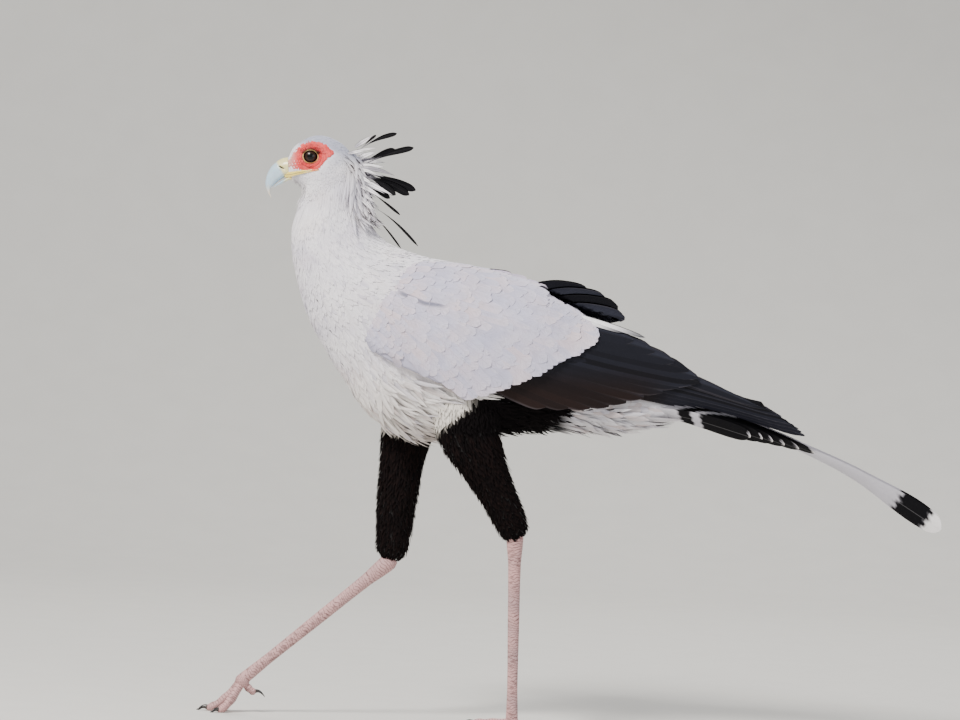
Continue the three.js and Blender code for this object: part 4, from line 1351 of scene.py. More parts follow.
@dataclass
class Wing:
    """One folded wing: arm, coverts in tiers, and flight feathers."""

    side: Side
    finishes: Finishes
    rng: Rng
    used: int = 0

    def __post_init__(self) -> None:
        """Keeps the wing's surface."""
        self.surface = WingSurface(self.side)

    def arm(self) -> None:
        """The body of the wing under its coverts, a closed sheet."""
        t, s = np.meshgrid(np.linspace(0, 1, 60), np.linspace(0, 1, 40), indexing="ij")
        rear = along(COVERT_EDGE, s)[..., 0] - ARM_SHORT
        x = ARM_FRONT + (rear - ARM_FRONT) * t**0.85
        z = through(WING_LOW, x) + (through(WING_TOP, x) - through(WING_LOW, x)) * (0.05 + 0.9 * s)
        p, normal, _, _ = self.surface.frame(x, z)
        top, under = p - normal * 1.5, p - normal * (12 - 5 * t)[..., None]
        ring = np.concatenate([top, under[:, ::-1]], axis=1)
        batch = Batch()
        tube(batch, ring, flat_tint(ring.shape[:2], COVERT_GREY * 0.8))
        piece = batch.emit(f"wing_arm_{self.side.label}", self.finishes.wing, "wing_plumage")
        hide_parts(f"wing_{self.side.label}")

    def scatter_coverts(self, x_range: Pair, spacing: float, long: float, batch: Batch) -> None:
        """Smaller coverts spread over a stretch of the arm, in front of the rear edge."""
        low = float(through(WING_LOW, x_range[0])) - 60
        a, b = scatter(self.surface, x_range, (low, 700), spacing, self.rng)
        span = through(WING_TOP, a) - through(WING_LOW, a)
        share = (b - through(WING_LOW, a)) / span
        slope = np.radians(through(COVERT_LIE, share))
        tip = a + long * np.cos(slope), b - long * np.sin(slope)
        keep = (share > 0.015) & (share < 0.97) & (inside_by(COVERT_REGION, *tip) > 2)
        a, b, share = a[keep], b[keep], share[keep]
        lie = Lie(long, long * 0.36, rise=0.8, heading=-through(COVERT_LIE, share), stray=5, lift_vary=0.22)
        bake = unwrap(a, b, (-200, 515), (440, 716))
        lay(batch, self.surface, a, b, lie, COVERT, covert_paint, self.rng, bake)

    def rows(self, roots: Array, tips: Array, half: Array, lift: Array, bow: Array | float, form: Form,
             paint: Paint, batch: Batch) -> None:
        """Feathers between given roots and tips on the wing's sheet.

        Args:
            roots: where each starts (x, z).
            tips: where each ends (x, z).
            half: half widths.
            lift: heights above the sheet at root and tip for each.
            bow: how far each curves upwards.
            form: their kind.
            paint: their colours.
            batch: where they go.
        """
        n = len(roots)
        w, face = form.ring()
        t = form.places()
        run = tips - roots
        long = np.linalg.norm(run, axis=1)
        across = np.stack([-run[:, 1], run[:, 0]], -1) / long[:, None]
        width = half[:, None, None] * through(form.outline, t)[None, :, None] * w
        off = width + np.broadcast_to(bow, n)[:, None, None] * np.sin(np.pi * t)[:, None]
        x, z = (roots[:, c, None, None] + run[:, c, None, None] * t[:, None] + across[:, c, None, None] * off
                for c in (0, 1))
        p, normal, _, _ = self.surface.frame(x, z)
        height = lift[:, 0, None] + (lift[:, 1] - lift[:, 0])[:, None] * t
        body = 0.5 * form.thick * (1 - 0.5 * t)[None, :, None] * face
        up = height[..., None] + body - 0.06 * np.abs(width) * np.abs(w) - 1.2 * (w > 0) * w
        points = p + normal * up[..., None]
        points[..., 1] = self.side.value * np.maximum(np.abs(points[..., 1]), 1.5)
        luck = self.rng.random(n)
        slot = self.used + np.arange(n)
        self.used += n
        corner = 0.005 + np.stack([slot % 40, slot // 40], -1) * LONG_STEP
        run_mm = long[:, None, None] * t[:, None] + 0 * w
        facing = normal * np.array([1.0, 1.0, 0.35 if form is FLIGHT else 1.0])
        vanes(batch, form, points, facing, run_mm, width, paint, luck, corner, LONG_PATCH)

    def tiers(self) -> None:
        """The rear coverts, in rows whose tips make the edge of the pale plumage."""
        batch, self.used = Batch(), 0
        for back, long, half, count, lift in TIERS:
            q = 0.97 * (np.arange(count) + 0.5 + self.rng.uniform(-0.25, 0.25, count)) / count
            angle = np.radians(through(COVERT_LIE, q))
            way = np.stack([np.cos(angle), -np.sin(angle)], -1)
            tips = along(COVERT_EDGE, q) - way * (back + self.rng.uniform(-1.5, 3.5, count))[:, None]
            lifts = np.stack([-3.0 - 3 * blend(0.6, 0.9, q), lift + self.rng.uniform(-0.3, 0.3, count)], -1)
            halves = np.full(count, float(half))
            self.rows(tips - way * long, tips, halves, lifts, -2.0, COVERT, covert_paint, batch)
        roots, tips = np.array([[120.0, 634], [108, 630]]), np.array([[246.0, 599], [214, 606]])
        lifts = np.array([[-1.0, -1], [-0.5, -1.5]])
        self.rows(roots, tips, np.array([3.4, 4.0]), lifts, 1.0, COVERT, edge_paint, batch)
        batch.emit(f"wing_tiers_{self.side.label}", self.finishes.wing, "wing_plumage")

    def flight(self) -> None:
        """Secondaries over primaries, and ruffled tertials on the far wing."""
        batch, self.used = Batch(), 0
        q = np.linspace(0, 1, 15)
        roots = along(((-40, 545), (20, 575), (60, 620)), q)
        tips = along(((104, 488), (180, 490), (240, 505), (300, 528), (332, 540), (300, 563), (228, 596)), q)
        lifts = np.stack([-9.5 + 6.5 * q, -10.5 + 7.3 * q], -1)
        self.rows(roots, tips, np.full(15, 16.0), lifts, 3.0, FLIGHT, flight_paint, batch)
        q = np.linspace(0, 1, 9)
        roots = along(((80, 566), (40, 548)), q)
        tips = along(((420, 510), (458, 499), (482, 483), (494, 466)), q)
        lifts = np.stack([-4 - 5.4 * q, -11.6 - 5.4 * q], -1)
        self.rows(roots, tips, np.full(9, 11.0), lifts, 17 - 15 * q, FLIGHT, flight_paint, batch)
        if self.side is Side.RIGHT:
            roots = np.array([[40.0, 640], [46, 630], [50, 622], [30, 652]])
            tips = np.array([[186.0, 650], [204, 640], [215, 624], [160, 660]])
            lifts = np.array([[-6.0, 13], [-6, 11], [-6, 9], [-6, 11]])
            self.rows(roots, tips, np.array([16.0, 16, 17, 14]), lifts, 6.0, FLIGHT, flight_paint, batch)
        batch.emit(f"flight_{self.side.label}", self.finishes.black, "black_plumage")

    def build(self) -> None:
        """Every piece of the wing."""
        self.arm()
        batch = Batch()
        stretches = (((-186, -130), 8.5, 32.0), ((-130, -50), 11.5, 50.0), ((-50, 150), 15.5, 72.0))
        for x_range, spacing, long in stretches:
            self.scatter_coverts(x_range, spacing, long, batch)
        batch.emit(f"wing_coat_{self.side.label}", self.finishes.wing, "wing_plumage")
        self.tiers()
        self.flight()


# The tips of the tail's pairs from the middle outwards (x, y, z), and the dark bands of their
# vanes and of the streamers as shares of the length.
TAIL_TIPS = ((508, 15, 438), (484, 20, 444), (462, 27, 450), (444, 32, 455), (428, 35, 459), (410, 38, 462))
TAIL_BANDS = ((0.4, 0.5), (0.585, 0.989))
STREAMER_BANDS = ((0.83, 0.937),)

# The streamers' common line (x, z), and for each its y along the line, how far it stands above
# the line, and its lean at the root.
STREAMER_LINE = ((232, 516), (286, 500), (377, 484), (477, 448), (564, 412), (640, 370), (704, 332))
STREAMER_PLACES = (((-4, -7, -9, -8, -7, -7, -7), 0, 12), ((4, 3, 3, 2.5, 2, 2, 2), 3, 8))


@dataclass
class Tail:
    """Pairs of tail feathers and the two long middle ones."""

    finishes: Finishes
    rng: Rng

    def feather(self, batch: Batch, line: Array, half: float, lean: Pair, form: Form,
                bands: Sequence[Pair], slot: int) -> None:
        """One vane along a line, leaning about it from one angle at its root to another.

        Args:
            batch: where it goes.
            line: points from root to tip.
            half: half width.
            lean: angles in degrees at root and tip.
            form: its kind.
            bands: its dark bands as shares of its length.
            slot: its place in the baked image.
        """
        t = form.places()
        spine = along(line, t)
        way = unit(along(line, np.minimum(t + 0.01, 1)) - along(line, np.maximum(t - 0.01, 0)))
        flat = unit(Y_AXIS - way * way[:, 1:2])
        turn = np.radians(lean[0] + (lean[1] - lean[0]) * t)[:, None]
        across = flat * np.cos(turn) + np.cross(flat, way) * np.sin(turn)
        out = np.cross(across, way)
        w, face = form.ring()
        width = half * through(form.outline, t)[:, None] * w
        body = 0.5 * form.thick * face - 0.12 * np.abs(width)
        long = float(np.linalg.norm(np.diff(line, axis=0), axis=1).sum())
        slant = 0.03 * np.sign(line[-1, 1]) * (len(bands) > 1)
        blade(batch, form, spine, across[:, None], out[:, None], width, body, long, tail_paint(bands, slant),
              self.rng.random(1), np.array([[0.02 + slot * 0.06, 0.02]]), (0.05, 0.95))

    def build(self) -> None:
        """Six pairs laid like a roof, then the streamers."""
        batch, slot = Batch(), 0
        for side in Side:
            for i, (tip_x, tip_y, tip_z) in enumerate(TAIL_TIPS):
                drop = 2 + 2.4 * i
                root = np.array([232, side.value * (5 + 1.8 * i), 512 - 1.4 * drop])
                end = np.array([tip_x, side.value * tip_y, tip_z - 0.7 * i])
                middle = (root + end) / 2 + np.array([0, side.value * 3, 12 - drop * 0.5])
                line = np.stack([root, middle, end])
                lean = (-side.value * (14 + 4.6 * i), -side.value * (30 + 5.4 * i))
                self.feather(batch, line, 14.5, lean, TAIL_VANE, TAIL_BANDS, slot)
                slot += 1
        batch.emit("tail_pairs", self.finishes.tail, "tail_plumage")
        batch = Batch()
        for i, (ys, up, lean) in enumerate(STREAMER_PLACES):
            line = np.array([(x, y, z + up) for (x, z), y in zip(STREAMER_LINE, ys)])
            self.feather(batch, line, 17.5, (lean, 74), STREAMER, STREAMER_BANDS, i)
        piece = batch.emit("streamers", self.finishes.tail, "tail_plumage")
        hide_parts("tail")


@dataclass(frozen=True)
class Plume:
    """A crest feather: root and tip (x, z), their y as shares of the spread, club breadth."""

    root: Pair
    tip: Pair
    y: Pair
    club: float
    colour: str = "black"


# The crest: root (x, z), tip (x, z), their y as shares of the spread, the club's breadth, and
# the colour where it isn't black.
PLUMES = [Plume(tuple(row[0:2]), tuple(row[2:4]), tuple(row[4:6]), *row[6:]) for row in (
    (-204, 860, -177, 879, 0.1, 0.15, 7, "white"), (-198, 854, -173, 880, -0.2, -0.3, 4),
    (-207, 849, -142, 884, -0.2, -0.5, 7), (-203, 831, -144, 860, 0.2, 0.5, 10),
    (-201, 828, -116, 864, -0.1, -0.2, 9), (-202, 839, -173, 854, -0.3, -0.6, 8, "white"),
    (-206, 832, -159, 833, -0.4, -0.9, 8, "white"), (-205, 836, -158, 839, 0.3, 0.8, 7, "white"),
    (-201, 828, -142, 821, -0.5, -1.1, 7, "grey"), (-203, 828, -110, 800, 0.3, 0.9, 12),
    (-201, 823, -119, 793, -0.05, 0.1, 12), (-196, 821, -139, 792, -0.35, -0.6, 11),
    (-205, 816, -144, 792, -0.5, -1.0, 8, "white"), (-208, 809, -158, 786, -0.6, -1.1, 8, "white"),
    (-205, 803, -175, 784, -0.3, -0.5, 9), (-208, 803, -169, 779, -0.5, -0.9, 7, "white"),
    (-205, 810, -151, 799, 0.4, 1.0, 8, "white"), (-194, 787, -177, 758, -0.4, -0.7, 8),
    (-192, 778, -176, 751, -0.2, -0.3, 7), (-197, 784, -180, 746, -0.6, -0.9, 6, "white"),
    (-195, 768, -182, 741, -0.4, -0.6, 6), (-188, 801, -131, 762, 0.1, 0.2, 4),
    (-185, 772, -127, 712, -0.1, -0.1, 3), (-184, 778, -102, 717, 0.05, 0.15, 4),
    (-204, 797, -173, 767, -0.7, -1.1, 7, "white"), (-209, 822, -172, 805, -0.7, -1.3, 7, "white"),
    (-205, 819, -164, 808, 0.6, 1.2, 7, "white"), (-204, 795, -172, 775, 0.6, 1.1, 7, "white"),
    (-200, 810, -148, 786, 0.5, 1.0, 9), (-197, 787, -176, 761, 0.6, 0.9, 8),
)]
PLUME_COLOURS = {"black": INK, "grey": srgb(150, 146, 154), "white": WHITE}
CREST_SPREAD = 26.0
WISPS = 44


@dataclass
class Crest:
    """The loose plumes of the nape."""

    finishes: Finishes
    rng: Rng

    def wisps(self, count: int) -> list[Plume]:
        """Fine white feathers that stand out of the nape among the plumes, lower ones hanging."""
        made = []
        for q in np.linspace(0, 1, count):
            root = along(((-214, 850), (-205, 826), (-198, 800), (-189, 768)), q)
            turn = math.radians(8 - 58 * q + self.rng.normal(0, 9))
            long = self.rng.uniform(24, 46)
            y = self.rng.uniform(-1, 1)
            tip = root + long * np.array([math.cos(turn), math.sin(turn)])
            made.append(Plume(tuple(root), tuple(tip), (0.7 * y, 1.1 * y), self.rng.uniform(3, 5.5),
                              "grey" if self.rng.random() < 0.3 else "white"))
        return made

    def build(self) -> None:
        """Each plume is a bare shaft that widens to a rounded club and droops a little."""
        batch = Batch()
        t = CLUB.places()
        w, face = CLUB.ring()
        for slot, plume in enumerate((*PLUMES, *self.wisps(WISPS))):
            start = np.array([plume.root[0], plume.y[0] * CREST_SPREAD, plume.root[1]])
            end = np.array([plume.tip[0], plume.y[1] * CREST_SPREAD, plume.tip[1]])
            way = unit(end - start)
            across = unit(np.cross(Y_AXIS, way))
            out = np.cross(way, across)
            long = np.linalg.norm(end - start)
            spine = start + (end - start) * t[:, None]
            spine[:, 2] += (0.02 + 0.05 * (slot % 3) / 2) * long * np.sin(np.pi * t)
            kind = CLUB if plume.colour == "black" else WISP
            width = 0.5 * plume.club * through(kind.outline, t)[:, None] * w
            body = 0.5 * CLUB.thick * face * (1.4 - t)[:, None] + 0.15 * np.abs(width)
            paint = plume_paint(PLUME_COLOURS[plume.colour])
            blade(batch, CLUB, spine, across, out, width, body, long, paint, self.rng.random(1),
                  np.array([[0.01 + slot * 0.013, 0.02]]), (0.011, 0.95))
        batch.emit("crest", self.finishes.black, "black_plumage")


# The half width of the lids' opening, how thick the bare skin of the face is, and how many
# lashes and bristles are tried on each side.
LID_RADIUS = 10.2
FACE_THICK = 2.2
LASHES, BRISTLES = 34, 150

# The bill's sections from base to tip: a point above, a point below (x, z) and the half width.
BILL_TOP = ((-303.4, 840, -300.6, 812.4, 13.6), (-312, 837.5, -306, 810.4, 12.6),
            (-321, 831.5, -312.5, 806, 10.8), (-329, 822, -318.5, 801, 8.6), (-334, 810, -323, 796, 6.4),
            (-335, 797, -327, 791, 4.4), (-331.5, 786.5, -327, 784, 2.6), (-325.8, 777.6, -325, 778.2, 0.8))
BILL_UNDER = ((-296, 812, -296, 805.6, 12.2), (-300.8, 811.2, -300.3, 805.6, 12),
              (-307, 807.6, -307, 801.6, 10.2), (-315, 801.8, -315, 797.6, 7.4),
              (-323.2, 794.2, -323.4, 792.6, 3))


@dataclass
class Head:
    """Face skin, lids, lashes, eyes and bill."""

    finishes: Finishes
    rng: Rng

    def face(self, side: Side) -> None:
        """Bare skin from the lids' opening out to the face's outline: rings that turn from
        the eye's ellipse into the outline, standing on the eyeball within and on the head
        without, with a raised ring about the eye and fine folds."""
        outline = np.array(FACE, float)
        outline = np.concatenate([outline, outline[:1]])
        theta = turns(180)
        angles = np.unwrap(np.arctan2(outline[:, 1] - EYE_Z, outline[:, 0] - EYE_X))
        radius = np.hypot(outline[:, 0] - EYE_X, outline[:, 1] - EYE_Z)
        sense = np.sign(angles[-1] - angles[0])
        around = angles[0] + sense * np.mod(sense * (theta - angles[0]), 2 * np.pi)
        ragged = 0.7 * np.sin(theta * 23 + 2 * np.sin(theta * 7)) + 0.5 * np.sin(theta * 51)
        far = np.interp(sense * around, sense * angles, radius) + 1.5 + ragged
        near = LID_RADIUS / np.sqrt(np.cos(theta) ** 2 + (np.sin(theta) / 0.87) ** 2)
        s = np.linspace(0, 1, 64)[:, None]
        r = near + (far - near) * s
        x, z = EYE_X + r * np.cos(theta), EYE_Z + r * np.sin(theta)
        head = head_surface(x, z, 0.7)
        ball = EYE_Y + np.sqrt(np.maximum(14.0**2 - r**2, 0))
        y = ball + (np.maximum(head, ball) - ball) * blend(10.5, 15.5, r)
        y = y + 1.1 * np.exp(-(((r - 13.2) / 1.9) ** 2)) - 0.7 * np.exp(-(((r - 17) / 1.6) ** 2))
        folds = np.sin(r * 1.5 + 1.6 * np.sin(theta * 3)) * blend(14, 18, r)
        folds = folds + 0.6 * np.sin(theta * 34 + r * 0.5)
        y = y + 0.22 * folds - 1.6 * blend(0.82, 1.0, s)
        grid, under = (np.stack([x, side.value * (y - deep), z], -1) for deep in (0, FACE_THICK))
        out = r - near
        blotch = ripple(grid, 0.32, 3.0) * (0.35 + 0.65 * ripple(grid, 1.1, 6.0))
        stipple = blend(0.72, 0.95, ripple(grid, 2.6, 2.0)) * blend(3.5, 9, out)
        colour = over(mix(FACE_RED, FACE_PINK, blotch + 0.35 * blend(4, 14, out)),
                      (srgb(120, 30, 30), 0.5 * stipple),
                      (srgb(222, 176, 170), 0.75 * (1 - blend(-301, -287, x))),
                      (srgb(226, 190, 150), 0.6 * blend(0.86, 1.0, s + 0 * r) * (z < EYE_Z)),
                      (srgb(70, 26, 22), 0.75 * np.exp(-(((out - 2.6) / 0.55) ** 2))),
                      (srgb(206, 168, 104), 1 - blend(1.5, 2.1, out)),
                      (srgb(28, 18, 16), 1 - blend(0.3, 0.7, out)))
        batch = Batch()
        tint = with_edge(np.concatenate([colour, colour[::-1]]))
        tube(batch, np.concatenate([grid, under[::-1]]), tint, closed=True)
        batch.emit(f"face_{side.label}", self.finishes.face, "leg_skin")

    def ball(self, side: Side) -> None:
        """The eyeball with its wide pupil and dark brown iris, glossy as if wet."""
        polar = np.linspace(0.02, np.pi - 0.02, 96)[:, None]
        turn = turns(96)
        r = EYE_RADIUS - 0.3 + 0.5 * np.exp(-((polar / 0.55) ** 2))
        x, z, y = np.moveaxis(r[..., None] * globe(polar, turn), -1, 0)
        grid = np.stack([EYE_X + x, side.value * (EYE_Y + y), EYE_Z + z], -1)
        spokes = 0.5 + 0.5 * np.sin(turn * 37 + 3 * np.sin(turn * 5))
        colour = mix(srgb(50, 28, 16), srgb(26, 15, 10), spokes * np.ones_like(polar))
        colour = mix(INK * 0.3, colour, blend(0.36, 0.4, polar) * np.ones_like(turn))
        colour = mix(colour, srgb(16, 10, 8), blend(0.66, 0.78, polar) * np.ones_like(turn))
        batch = Batch()
        tube(batch, grid, with_edge(colour))
        piece = batch.emit(f"eyeball_{side.label}", self.finishes.eye, "eye")
        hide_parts(f"eye_{side.label}")

    def gape(self, side: Side) -> None:
        """The yellow fleshy edge of the mouth, from the bill back under the eye, with the
        closed slit pressed in along its middle and its front darkened as painted shade."""
        line = np.array([(-306.5, 814.5, 5.2), (-299, 815.3, 5.0), (-289, 817.6, 4.0), (-278, 820.0, 3.0),
                         (-266, 822.0, 1.9), (-255, 823.6, 0.7)])
        rows = along(line, np.linspace(0, 1, 70))
        turn = turns(40)
        x, z = rows[:, :1] + 0 * turn, rows[:, 1:2] + rows[:, 2:] * np.cos(turn)
        base = head_surface(np.maximum(rows[:, 0], -301), rows[:, 1], 1.2)[:, None]
        base = base - 0.5 * np.maximum(-301 - rows[:, :1], 0)
        slit = np.exp(-(((z - rows[:, 1:2] + 0.25 * rows[:, 2:]) / 0.45) ** 2)) * (np.sin(turn) > 0)
        y = base + np.sin(turn) * np.minimum(rows[:, 2:] * 0.5, 1.7) - 0.7 * slit
        colour = mix(srgb(238, 214, 112), srgb(228, 164, 104), blend(-276, -258, x))
        # Painted shade darkening the front of the slit.
        colour = mix(colour, srgb(70, 44, 36), 0.85 * slit * (1 - blend(-272, -262, x)))
        batch = Batch()
        tube(batch, np.stack([x, side.value * y, z], -1), with_edge(colour))
        batch.emit(f"gape_{side.label}", self.finishes.horn, "bill_horn")

    def bristles(self, side: Side) -> None:
        """Short dark bristles on the brow, in front of the eye and at the edge of the face."""
        batch = Batch()
        for i in range(BRISTLES):
            turn = self.rng.uniform(0.25, 2 * np.pi - 1.4)
            far = self.rng.uniform(13.5, 24) if turn < 2.6 else self.rng.uniform(15, 30)
            x, z = EYE_X + far * math.cos(turn), EYE_Z + far * 0.8 * math.sin(turn)
            if inside_by(FACE, np.array([x]), np.array([z]))[0] < -2.5:
                continue
            y = float(head_surface(np.array([x]), np.array([z]), 0.5)[0])
            long = self.rng.uniform(2.5, 4.5)
            t = np.linspace(0, 1, 4)[:, None]
            lean = self.rng.uniform(-0.5, 0.5)
            way = np.array([0.8 + 0.1 * lean, 0.25, 0.35 + lean])
            spine = np.array([x, y - 0.3, z]) + unit(way) * long * t
            spine[:, 1] *= side.value
            k = turns(4)
            ring = np.stack([0 * k, np.cos(k), np.sin(k)], -1)
            patch = (i % 16 / 16, i // 16 / 16, 0.06, 0.06)
            rod(batch, spine, ring, 0.16 * (1 - t) + 0.03, SOOT, patch)
        batch.emit(f"bristles_{side.label}", self.finishes.claw, "black_plumage")

    def lashes(self, side: Side) -> None:
        """Fine dark lashes along the upper lid, each a tapering curved rod."""
        batch = Batch()
        for i, turn in enumerate(np.radians(np.linspace(24, 158, LASHES))):
            start = np.array([EYE_X + 10.9 * np.cos(turn), 0, EYE_Z + 9.6 * np.sin(turn)])
            start[1] = EYE_Y + 9.0
            lean = self.rng.uniform(-0.15, 0.15)
            long = 6.5 + 2.5 * math.sin(turn)
            t = np.linspace(0, 1, 7)[:, None]
            way = np.array([0.9 * math.cos(turn + lean), 0.75, 0.55 * math.sin(turn)])
            spine = start + way * long * t + np.array([0, 0, 1.8]) * t**2
            spine[:, 1] *= side.value
            k = turns(6)
            ring = np.stack([np.cos(k), 0 * k, np.sin(k)], -1)
            rod(batch, spine, ring, 0.3 * (1 - t) ** 0.7 + 0.05, INK, (i / LASHES, 0, 0.028, 1))
        batch.emit(f"lashes_{side.label}", self.finishes.claw, "black_plumage")

    def bill(self) -> None:
        """Both halves of the bill: sections from base to tip with a keeled top and, above, a
        cere that swells at the base and a nostril slit pressed in, painted dark inside as shade."""
        halves = (("bill_top", BILL_TOP, "bill_upper"), ("bill_under", BILL_UNDER, "bill_lower"))
        for name, sections, node in halves:
            top = sections is BILL_TOP
            rows = along(sections, np.linspace(0, 1, 110))
            turn = turns(96)
            cos, sin = np.cos(turn), np.sin(turn)
            crown = np.sqrt(np.clip(1 - np.abs(cos) ** (4.0 if top else 2.4), 0, 1))
            swell = np.where(cos < 0, crown, np.abs(sin) ** 1.12)
            centre, up = (rows[:, :2] + rows[:, 2:4]) / 2, (rows[:, :2] - rows[:, 2:4]) / 2
            x = centre[:, :1] + up[:, :1] * cos
            z = centre[:, 1:] + up[:, 1:] * cos
            y = rows[:, 4:] * swell * np.sign(sin)
            slit = np.hypot(((x + 312) * 0.9 - (z - 824) * 0.42) / 5.2,
                            ((z - 824) * 0.9 + (x + 312) * 0.42) / 1.25)
            if top:
                y = y * (1 - 0.22 * np.exp(-(slit**2)))
            cere = blend(-320, -313, x + 0.68 * (z - 826)) if top else blend(-312, -300, x)
            # The near black in the nostril slit is painted shade.
            colour = over(mix(srgb(184, 208, 224), srgb(238, 224, 150), cere * 0.9 + 0 * z),
                          (srgb(232, 222, 204), 1 - blend(783, 800, z)),
                          (srgb(24, 18, 18), (1 - blend(0.7, 1.15, slit)) * top))
            grid = np.stack([x, y, z], -1)
            batch = Batch()
            tube(batch, grid, with_edge(colour * (1 - 0.1 * ripple(grid, 0.5, 1.0))[..., None]))
            piece = batch.emit(name, self.finishes.horn, "bill_horn")
            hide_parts(node)

    def build(self) -> None:
        """Every piece of the head but its plumage."""
        self.bill()
        for side in Side:
            self.face(side)
            self.ball(side)
            self.gape(side)
            self.lashes(side)
            self.bristles(side)


def globe(polar: Array, turn: Array) -> Array:
    """Directions all over a ball, by the angle from its pole and the turn about it."""
    out, height = np.sin(polar), np.cos(polar) + 0 * turn
    return np.stack([out * np.cos(turn), out * np.sin(turn), height], -1)


def hexes(u: Array, v: Array) -> Array:
    """A relief of six-sided scales over (u, v) in cells: how far each point is from the
    nearest edge of its cell, found from the two nearest middles of a staggered grid."""
    row = 1.732
    near, far = (np.hypot(u - s - np.round(u - s), v - s * row - np.round((v - s * row) / row) * row)
                 for s in (0.0, 0.5))
    return np.abs(near - far)


@dataclass
class Leg:
    """A bare tarsus with its foot and claws."""

    side: Side
    finishes: Finishes

    def __post_init__(self) -> None:
        """Places the ankle and the foot's joint."""
        left = self.side is Side.LEFT
        self.raised = not left
        self.ankle = np.array([66.0, -35, 294] if left else [-121.0, 36, 238])
        foot = np.array([76.0, -14, 12] if left else [-337.0, 22, 46])
        self.way = unit(foot - self.ankle)
        self.joint = self.ankle + self.way * TARSUS * 0.985

    def skin_tint(self, grid: Array, relief: Array) -> Array:
        """Pinkish grey, paler on the scales than between them, greyer and darker in patches."""
        colour = mix(srgb(208, 160, 156), srgb(178, 146, 146), ripple(grid, 0.06, 4.0))
        colour = mix(colour, srgb(128, 96, 94), 0.6 * blend(0.6, 0.9, ripple(grid, 0.3, 2.0)))
        return with_edge(mix(srgb(96, 62, 62), colour, np.clip(relief, 0, 1)))

    def tarsus(self) -> None:
        """The long bare leg with broad plates in front and small scales all round."""
        t, turn = np.meshgrid(np.linspace(-0.03, 0.985, 480), turns(96), indexing="ij")
        side = unit(Y_AXIS - self.way * self.way[1])
        fore = np.cross(self.way, side)
        fore = fore if fore[0] < 0 else -fore
        deep, wide = through(TARSUS_FORM, t, 1), through(TARSUS_FORM, t, 2)
        front = blend(0.25, 0.7, np.cos(turn))
        wave = 0.35 * np.sin(t * 23) + 0.22 * np.sin(t * 61 + 1) + 0.1 * np.sin(turn * 2 + t * 90)
        plate = np.abs(np.mod(t * TARSUS / SHANK_PLATE + wave + 0.25 * np.cos(turn) ** 2, 1) - 0.5) * 2
        loose = 0.25 * np.sin(turn * 3 + t * 37)
        cells = hexes(turn * 5 / np.pi + loose, t * TARSUS / SHANK_SCALE + wave + loose)
        relief = blend(0.02, 0.24, cells) * (1 - front) + (1 - blend(0.82, 0.98, plate)) * front
        lift = SHANK_RELIEF * relief - SHANK_RELIEF
        grid = about(self.ankle + self.way * (t * TARSUS)[..., None], fore, side,
                     (deep + lift) * np.cos(turn), (wide + lift) * np.sin(turn))
        batch = Batch()
        tube(batch, grid, self.skin_tint(grid, relief))
        piece = batch.emit(f"shank_{self.side.label}", self.finishes.leg, "leg_skin")
        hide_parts(f"tarsus_{self.side.label}")

    def toe_line(self, toe: Toe, run: Array) -> Array:
        """Points along a toe at distances from the foot's joint."""
        turn = math.radians(toe.bearing) * -self.side.value
        share = np.minimum(run / toe.long, 1)
        start = self.joint[2] if self.raised else toe.thick + 1
        floor = toe.thick * (0.48 if self.raised else 0.74)
        hang = 0.4 if toe.name == "hind" else 1.0
        reach = run * (0.86 if self.raised else 1.0)
        fall = (1 - (1 - share) ** 1.7) * hang if self.raised else share
        return np.stack([self.joint[0] - math.cos(turn) * reach, self.joint[1] - math.sin(turn) * reach,
                         start + (floor - start) * fall], -1)

    def foot(self) -> None:
        """Pad and toes, the toes with cross plates above and knuckle pads below."""
        batch = Batch()
        k = turns(64)
        polar = np.linspace(0.03, np.pi - 0.03, 40)[:, None]
        middle = np.array([*self.joint[:2], self.joint[2] - 2 if self.raised else 9.2])
        grid = middle + FOOT_BALL * globe(polar, k)
        grid[..., 2] = np.maximum(grid[..., 2], 0.0)
        relief = blend(0.04, 0.3, hexes(k * 10 / np.pi + 0 * polar, polar * 10 / 1.5))
        tube(batch, grid, self.skin_tint(grid, relief), (0.8, 0, 0.2, 1))
        for i, toe in enumerate(TOES):
            t = np.linspace(0, 1, 130)
            line = self.toe_line(toe, toe.long * t)
            way = unit(np.gradient(line, axis=0))
            side = unit(Y_AXIS - way * way[:, 1:2])
            up = np.cross(way, side)
            up = up * np.sign(up[:, 2:3])
            turn = turns(48)
            plate = np.abs(np.mod(t * toe.long / TOE_PLATE, 1) - 0.5) * 2
            above = blend(-0.1, 0.4, np.cos(turn))
            cells = hexes(turn * 6 / np.pi + 0 * t[:, None], (t * toe.long / TOE_SCALE)[:, None])
            relief = above * (1 - blend(0.75, 0.98, plate))[:, None] + (1 - above) * blend(0.04, 0.3, cells)
            r = toe.thick * through(TOE_FORM, t)[:, None] + TOE_RELIEF * relief - TOE_RELIEF
            r = r * np.sqrt(1 - np.clip((t - 0.93) / 0.075, 0, 1) ** 2 * 0.8)[:, None]
            grid = about(line[:, None], up[:, None], side[:, None], r * np.cos(turn), r * np.sin(turn))
            grid[..., 2] = np.maximum(grid[..., 2], 0.0)
            tube(batch, grid, self.skin_tint(grid, relief), (0.2 * i, 0, 0.19, 1))
        piece = batch.emit(f"foot_skin_{self.side.label}", self.finishes.leg, "leg_skin")
        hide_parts(f"foot_{self.side.label}")

